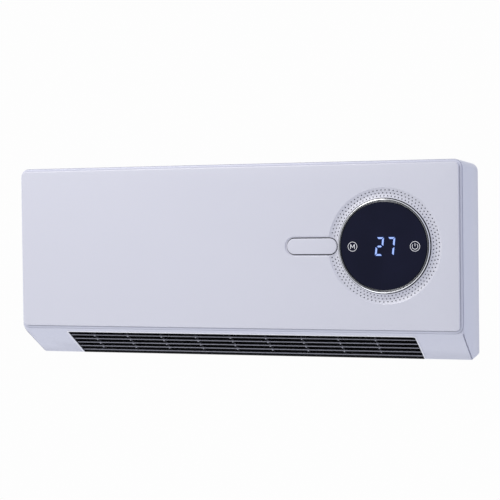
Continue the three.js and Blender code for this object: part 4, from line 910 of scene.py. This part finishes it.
def makeGrille():
    g = grille
    half = halfWidth - casing["outletSide"]
    reach = half - g["sideGap"]
    roof, floor = casing["outletTop"], slopeLength - casing["outletLow"]
    low = floor - g["lapLow"]
    ribPlaces = [(i - (g["ribs"] - 1) / 2) * g["ribPitch"] + g["ribShift"] for i in range(g["ribs"])]

    def slatPoint(x, index, back, up):
        nose = Vector(slopePoint(x, g["first"] + index * g["pitch"], g["setback"]))
        return nose + Vector((0, back, up))

    def slats(bm):
        # level blades with round noses, a little thinner at the back
        t, r = g["thick"], g["nose"]
        nose = [(r * (1 - cos(radians(a))), r * (1 - sin(radians(a)))) for a in (0, 22, 45, 68, 90)]
        profile = [(g["depth"], (t - g["thin"]) / 2)] + nose[::-1]
        profile += [(back, t - up) for back, up in nose] + [(g["depth"], (t + g["thin"]) / 2)]
        for i in range(g["slats"]):
            skin(bm, [[slatPoint(x, i, back, up) for back, up in profile] for x in (-reach, reach)])

    def gussets(bm):
        # a small web where a rib carries a blade; the lowest blade has none
        wide, slim, back = g["ribThick"] * 0.75, g["ribThick"] * 0.3, g["gussetBack"]
        for x in ribPlaces:
            for i in range(g["slats"] - 1):
                start = g["first"] + i * g["pitch"]
                head = start + g["gussetRise"]
                rings = []
                for side, setback in ((-1, g["gussetEdge"]), (-0.7, 0), (0.7, 0), (1, g["gussetEdge"])):
                    front = g["gussetFront"] + setback
                    rings.append([
                        slopePoint(x + side * wide, head, back), slopePoint(x + side * wide, head, front),
                        slopePoint(x + side * slim, start + 0.6 * g["gussetLength"], front),
                        slopePoint(x + side * slim, start + g["gussetLength"], back),
                    ])
                skin(bm, rings)

    # the ribs, the liners along the opening's edges and the frame behind are dark: painted shade inside the
    # opening
    def ribs(bm):
        t = g["ribThick"] / 2
        outline = [(-t, g["ribBack"]), (-t, g["ribFront"]), (t, g["ribFront"]), (t, g["ribBack"])]
        for x in ribPlaces:
            skin(bm, [[slopePoint(x + across, down, inwards) for across, inwards in outline]
                      for down in (roof + g["sideGap"], low)])
        back = casing["wall"] + g["frameGap"]
        shadeLiner, flange, wide, top = g["shadeLiner"], g["flange"], half + g["flange"], roof - g["lapTop"]
        for corners in (rectangle(-half, half, roof, roof + shadeLiner),
                        rectangle(-half, -half + shadeLiner, roof, floor),
                        rectangle(half - shadeLiner, half, roof, floor)):
            slab(bm, corners, slopePoint, g["shadeLinerFront"], back)
        for corners in (rectangle(-wide, wide, top, roof), rectangle(-wide, wide, low - g["frame"], low),
                        rectangle(-wide, -half + flange, top, low), rectangle(half - flange, wide, top, low)):
            slab(bm, corners, slopePoint, back, back + g["frame"])

    def sill(bm):
        # the grille's thin lower edge, which laps over the casing's; its dark finish is painted shade under
        # the lowest blade
        t, out, deep, seat = g["sillThick"], g["sillProud"], g["sillIn"], g["sillSeat"]
        start, end = floor - t, slopeLength + g["sillLap"]
        outline = [(start, deep), (start, out), (end, out), (end, g["sillEdge"]), (end - t, g["sillEdge"]),
                   (end - t, seat), (start + t, seat), (start + t, deep)]
        skin(bm, [[slopePoint(x, down, inwards) for down, inwards in outline] for x in (-reach, reach)])

    # painted shade under the lowest blade
    dress(newPiece("outlet_sill_shade", sill), "dark_moulding")
    dress(newPiece("outlet_slats", slats), "grille", hides=["outlet_grille"])
    dress(newPiece("outlet_gussets", gussets), "grille")
    # painted shade inside the opening
    dress(newPiece("outlet_ribs_shade", ribs), "dark_moulding")


makeGrille()
print("outlet grille made")


intake = inMetres({
    "pitch": 16, "slot": 6, "margin": 4, "flange": 4, "flangeThick": 2.1,
    "gap": 0.3, "round": 0.4, "edge": 0.3,
})


def makeIntake():
    n = intake
    half = halfWidth - casing["intakeSide"]
    front, back = casing["intakeFront"], casing["intakeBack"]
    ceiling = intakeLow.z + n["flangeThick"]
    top = intakeHigh.z

    def plate(bm):
        f = n["flange"]
        slab(bm, rectangle(-half - f, half + f, front - f, back + f), levelPoint, intakeLow.z, ceiling)

    def raised(bm):
        rings = []
        rows = [(0, ceiling - past)]
        rows += [(inwards * n["round"], top - down * n["round"]) for inwards, down in quarter(3)]
        for inset, z in rows:
            gap = n["gap"] + inset
            outline = rectangle(-half + gap, half - gap, front + gap, back - gap)
            rings.append([(x, y, z) for x, y in outline])
        skin(bm, rings)

    def slots(bm):
        count = int((2 * half - 2 * n["margin"]) / n["pitch"])
        r = n["slot"] / 2
        y0, y1 = front + n["margin"] + r, back - n["margin"] - r
        for k in range(count):
            x = (k - (count - 1) / 2) * n["pitch"]
            outline = arc(x, y1, r, 0, 180, 8) + arc(x, y0, r, 180, 180, 8)
            slab(bm, outline, levelPoint, intakeLow.z - past, top + past)

    piece = newPiece("intake_slots", plate)
    weld(piece, raised)
    carve(piece, slots)
    soften(piece, n["edge"])
    dress(piece, "casing", hides=["intake_grille"])


makeIntake()
print("intake made")


rear = inMetres({
    "thickness": 2.6, "gap": 0.3, "edge": 0.5, "rounding": 0.3,
    "holeRadius": 1.9, "headHole": 3.7, "headSeat": 0.8,
    "keyholeX": 150, "keyholeDrop": 36, "keyholeRadius": 5.2, "slot": 5.6, "rise": 14,
    "screwRadius": 1.6, "screwPoint": 0.8, "headRadius": 3.4, "headHeight": 1.2,
    "crossWidth": 0.75, "crossReach": 1.9, "crossDepth": 0.8,
    "bushBore": 4.5, "bushRadius": 6.9, "bushFlange": 2,
})
crossTurn = 17  # degrees from one screw's cross to the next


def makeRearCover():
    r = rear
    inset = casing["wall"] + r["gap"]

    def plate(bm):
        rings = []
        edge = r["edge"]
        for y, extra in ((-r["thickness"], 0), (-edge, 0), (-edge * 0.3, edge * 0.3), (0, edge)):
            corner = casing["topCorner"] - inset - extra
            rings.append(caseRing(y, inset + extra, casing["lowCorner"] - inset - extra * 0.5, corner))
        skin(bm, rings)

    def holes(bm):
        seat, through = r["thickness"] - r["headSeat"], r["thickness"] + past
        profile = [(0, -past), (r["headHole"], -past), (r["headHole"], seat), (r["holeRadius"], seat),
                   (r["holeRadius"], through), (0, through)]
        for name in coverScrews:
            turn(bm, middleOf(name), toFront, profile, 32)

    def keyholes(bm):
        z = topZ - r["keyholeDrop"]
        half = r["slot"] / 2
        join = degrees(atan2((r["keyholeRadius"] ** 2 - half ** 2) ** 0.5, half))
        for x in (-r["keyholeX"], r["keyholeX"]):
            outline = arc(x, z, r["keyholeRadius"], 180 - join, 180 + 2 * join, 32)
            outline += arc(x, z + r["rise"], half, 0, 180, 16)
            slab(bm, outline, frontPoint, -r["thickness"] - past, past)

    piece = newPiece("back_plate", plate)
    carve(piece, holes, keyholes)
    soften(piece, r["rounding"])
    dress(piece, "casing", hides=["rear_cover"])


def makeScrew(name, index):
    r = rear
    low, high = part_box(name)
    middle, tip, head = middleOf(name), low.y, high.y

    def build(bm):
        shank, wide, neck = r["screwRadius"], r["headRadius"], head - r["headHeight"]
        turn(bm, middle, toWall, [
            (0, tip), (shank * 0.6, tip), (shank, tip + r["screwPoint"]), (shank, neck), (wide, neck),
            (wide, head - 0.5 * mm), (wide - 0.2 * mm, head - 0.2 * mm), (wide - 0.7 * mm, head),
            (0, head)], 32)

    def slot(quarterTurn):
        # one bar of the cross in the head
        angle = radians(crossTurn * index) + quarterTurn
        along, across = Vector((cos(angle), 0, sin(angle))), Vector((-sin(angle), 0, cos(angle)))

        def place(u, v, depth):
            return middle + along * u + across * v + toWall * depth

        def cut(bm):
            half, reach = r["crossWidth"] / 2, r["crossReach"]
            slab(bm, rectangle(-reach, reach, -half, half), place, head - r["crossDepth"], head + past)
        return cut

    piece = newPiece(f"{name}_head", build)
    carve(piece, slot(0), slot(pi / 2))
    dress(piece, "steel", hides=[name])


def makeBush():
    def build(bm):
        bore, outer, top, low = rear["bushBore"], rear["bushRadius"], bushHigh.z, bushLow.z
        flange, seat, edge = (bushHigh.x - bushLow.x) / 2, top - rear["bushFlange"], 0.5 * mm
        turn(bm, Vector((bushMid.x, bushMid.y, 0)), upwards, [
            (bore, low + edge), (bore + edge, low), (outer - edge, low), (outer, low + edge),
            (outer, seat), (flange - 0.3 * mm, seat), (flange, seat + 0.3 * mm), (flange, top - 0.4 * mm),
            (flange - 0.4 * mm, top), (bore + edge, top), (bore, top - edge)], 64, looped=True)

    dress(newPiece("inlet_bush", build), "rubber", hides=["cord_bush"])


coverScrews = [f"cover_screw_{i}" for i in range(1, 7)]
makeRearCover()
for index, screwName in enumerate(coverScrews):
    makeScrew(screwName, index)
makeBush()
print("back made")


for row in frame["record"]["subparts"]:
    node = frame["nodes"][row["node"]]
    for holder in node.material_slots:
        holder.material = finishes[row["material_slot"]]
print("inner parts finished")


studio = {
    "floorZ": -1.3, "floorRadius": 4.5, "floorColour": (0.90, 0.90, 0.905),
    "skyColour": (0.96, 0.975, 1.0), "blueSide": (0.85, 0.90, 1.11), "frontSky": 0.56, "sideSky": 0.82,
    "frontReach": (-0.85, -0.2), "backdrop": 0.985,
    "lights": (
        # name, place, aim, size, strength, colour
        ("keyLight", (-0.85, -1.75, 1.15), (0.05, -0.05, 0), 1.3, 14, (1.0, 0.99, 0.975)),
        ("topLight", (-0.5, -0.62, 1.2), (0, -0.09, 0), 0.8, 6.5, (1.0, 0.99, 0.98)),
        ("lowLight", (-0.4, -0.36, -1.15), (0, -0.06, -0.1), 0.8, 2.7, (0.93, 0.96, 1.0)),
    ),
}


def makeFloor():
    def build(bm):
        ring = arc(0, 0, studio["floorRadius"], 0, 360, 96)[:-1]
        bm.faces.new([bm.verts.new((u, v, studio["floorZ"])) for u, v in ring])

    floor = newPiece("studio_floor", build)
    material, tree, shader = startFinish("floor_paper", studio["floorColour"], 0.9, 0.0, 0.1)
    tint(tree, shader, noiseOf(tree, 3), studio["floorColour"], (0.92, 0.92, 0.925))
    floor.data.materials.append(material)


def makeWorld():
    world = bpy.data.worlds.new("studio_sky")
    bpy.context.scene.world = world
    world.use_nodes = True
    tree = world.node_tree
    tree.nodes.clear()
    output = addNode(tree, "ShaderNodeOutputWorld")
    way = addNode(tree, "ShaderNodeTexCoord")

    def ramp(value, fromMin, fromMax, toMin, toMax):
        limits = {"From Min": fromMin, "From Max": fromMax, "To Min": toMin, "To Max": toMax}
        step = addNode(tree, "ShaderNodeMapRange", limits)
        step.interpolation_type = "SMOOTHSTEP"
        tree.links.new(value, step.inputs["Value"])
        return step.outputs["Result"]

    def facing(direction):
        dot = tree.nodes.new("ShaderNodeVectorMath")
        dot.operation = "DOT_PRODUCT"
        dot.inputs[1].default_value = direction
        tree.links.new(way.outputs["Generated"], dot.inputs[0])
        return dot.outputs["Value"]

    # brighter at the sides than in front, and bluer at the right
    low, high = studio["frontReach"]
    around = ramp(facing((0, 1, 0)), low, high, studio["frontSky"], studio["sideSky"])
    blue = addNode(tree, "ShaderNodeMix")
    blue.data_type = "RGBA"
    tree.links.new(ramp(facing((1, 0, 0)), 0, 0.8, 0, 1), blue.inputs["Factor"])
    blue.inputs[6].default_value = (*studio["skyColour"], 1)
    blue.inputs[7].default_value = (*studio["blueSide"], 1)
    light = addNode(tree, "ShaderNodeBackground")
    tree.links.new(blue.outputs[2], light.inputs["Color"])
    tree.links.new(around, light.inputs["Strength"])
    backdrop = addNode(tree, "ShaderNodeBackground", {"Color": (1, 1, 1, 1), "Strength": studio["backdrop"]})
    rays = addNode(tree, "ShaderNodeLightPath")
    mix = addNode(tree, "ShaderNodeMixShader")
    tree.links.new(rays.outputs["Is Camera Ray"], mix.inputs["Fac"])
    tree.links.new(light.outputs["Background"], mix.inputs[1])
    tree.links.new(backdrop.outputs["Background"], mix.inputs[2])
    tree.links.new(mix.outputs["Shader"], output.inputs["Surface"])


def makeLights():
    for name, place, aim, size, strength, colour in studio["lights"]:
        lamp = bpy.data.lights.new(name, "AREA")
        lamp.shape = "DISK"
        lamp.size = size
        lamp.energy = strength
        lamp.color = colour
        holder = addObject(name, lamp)
        holder.location = place
        holder.rotation_euler = (Vector(aim) - Vector(place)).to_track_quat("-Z", "Y").to_euler()


camera = {"focalPixels": 1520.9, "imageWidth": 500, "sensor": 36, "yaw": 20.14, "pitch": -1.22, "roll": -0.69,
          "place": (0.6328, -1.7545, 0.0514)}


def makeCamera():
    c = camera
    yaw, pitch, roll = radians(c["yaw"]), radians(c["pitch"]), radians(c["roll"])
    ahead = Vector((-sin(yaw) * cos(pitch), cos(yaw) * cos(pitch), sin(pitch)))
    level = Vector((cos(yaw), sin(yaw), 0))
    up = level.cross(ahead)
    right = cos(roll) * level + sin(roll) * up
    over = -sin(roll) * level + cos(roll) * up
    data = bpy.data.cameras.new("camera")
    data.sensor_fit = "HORIZONTAL"
    data.sensor_width = c["sensor"]
    data.lens = c["focalPixels"] / c["imageWidth"] * c["sensor"]
    data.clip_start = 0.05
    data.clip_end = 100
    holder = addObject("camera", data)
    turned = Matrix((right, over, -ahead)).transposed().to_4x4()
    holder.matrix_world = Matrix.Translation(c["place"]) @ turned
    bpy.context.scene.camera = holder


makeFloor()
makeWorld()
makeLights()
makeCamera()
bpy.context.scene.view_settings.view_transform = "Standard"
bpy.context.scene.view_settings.look = "None"
print("studio made")
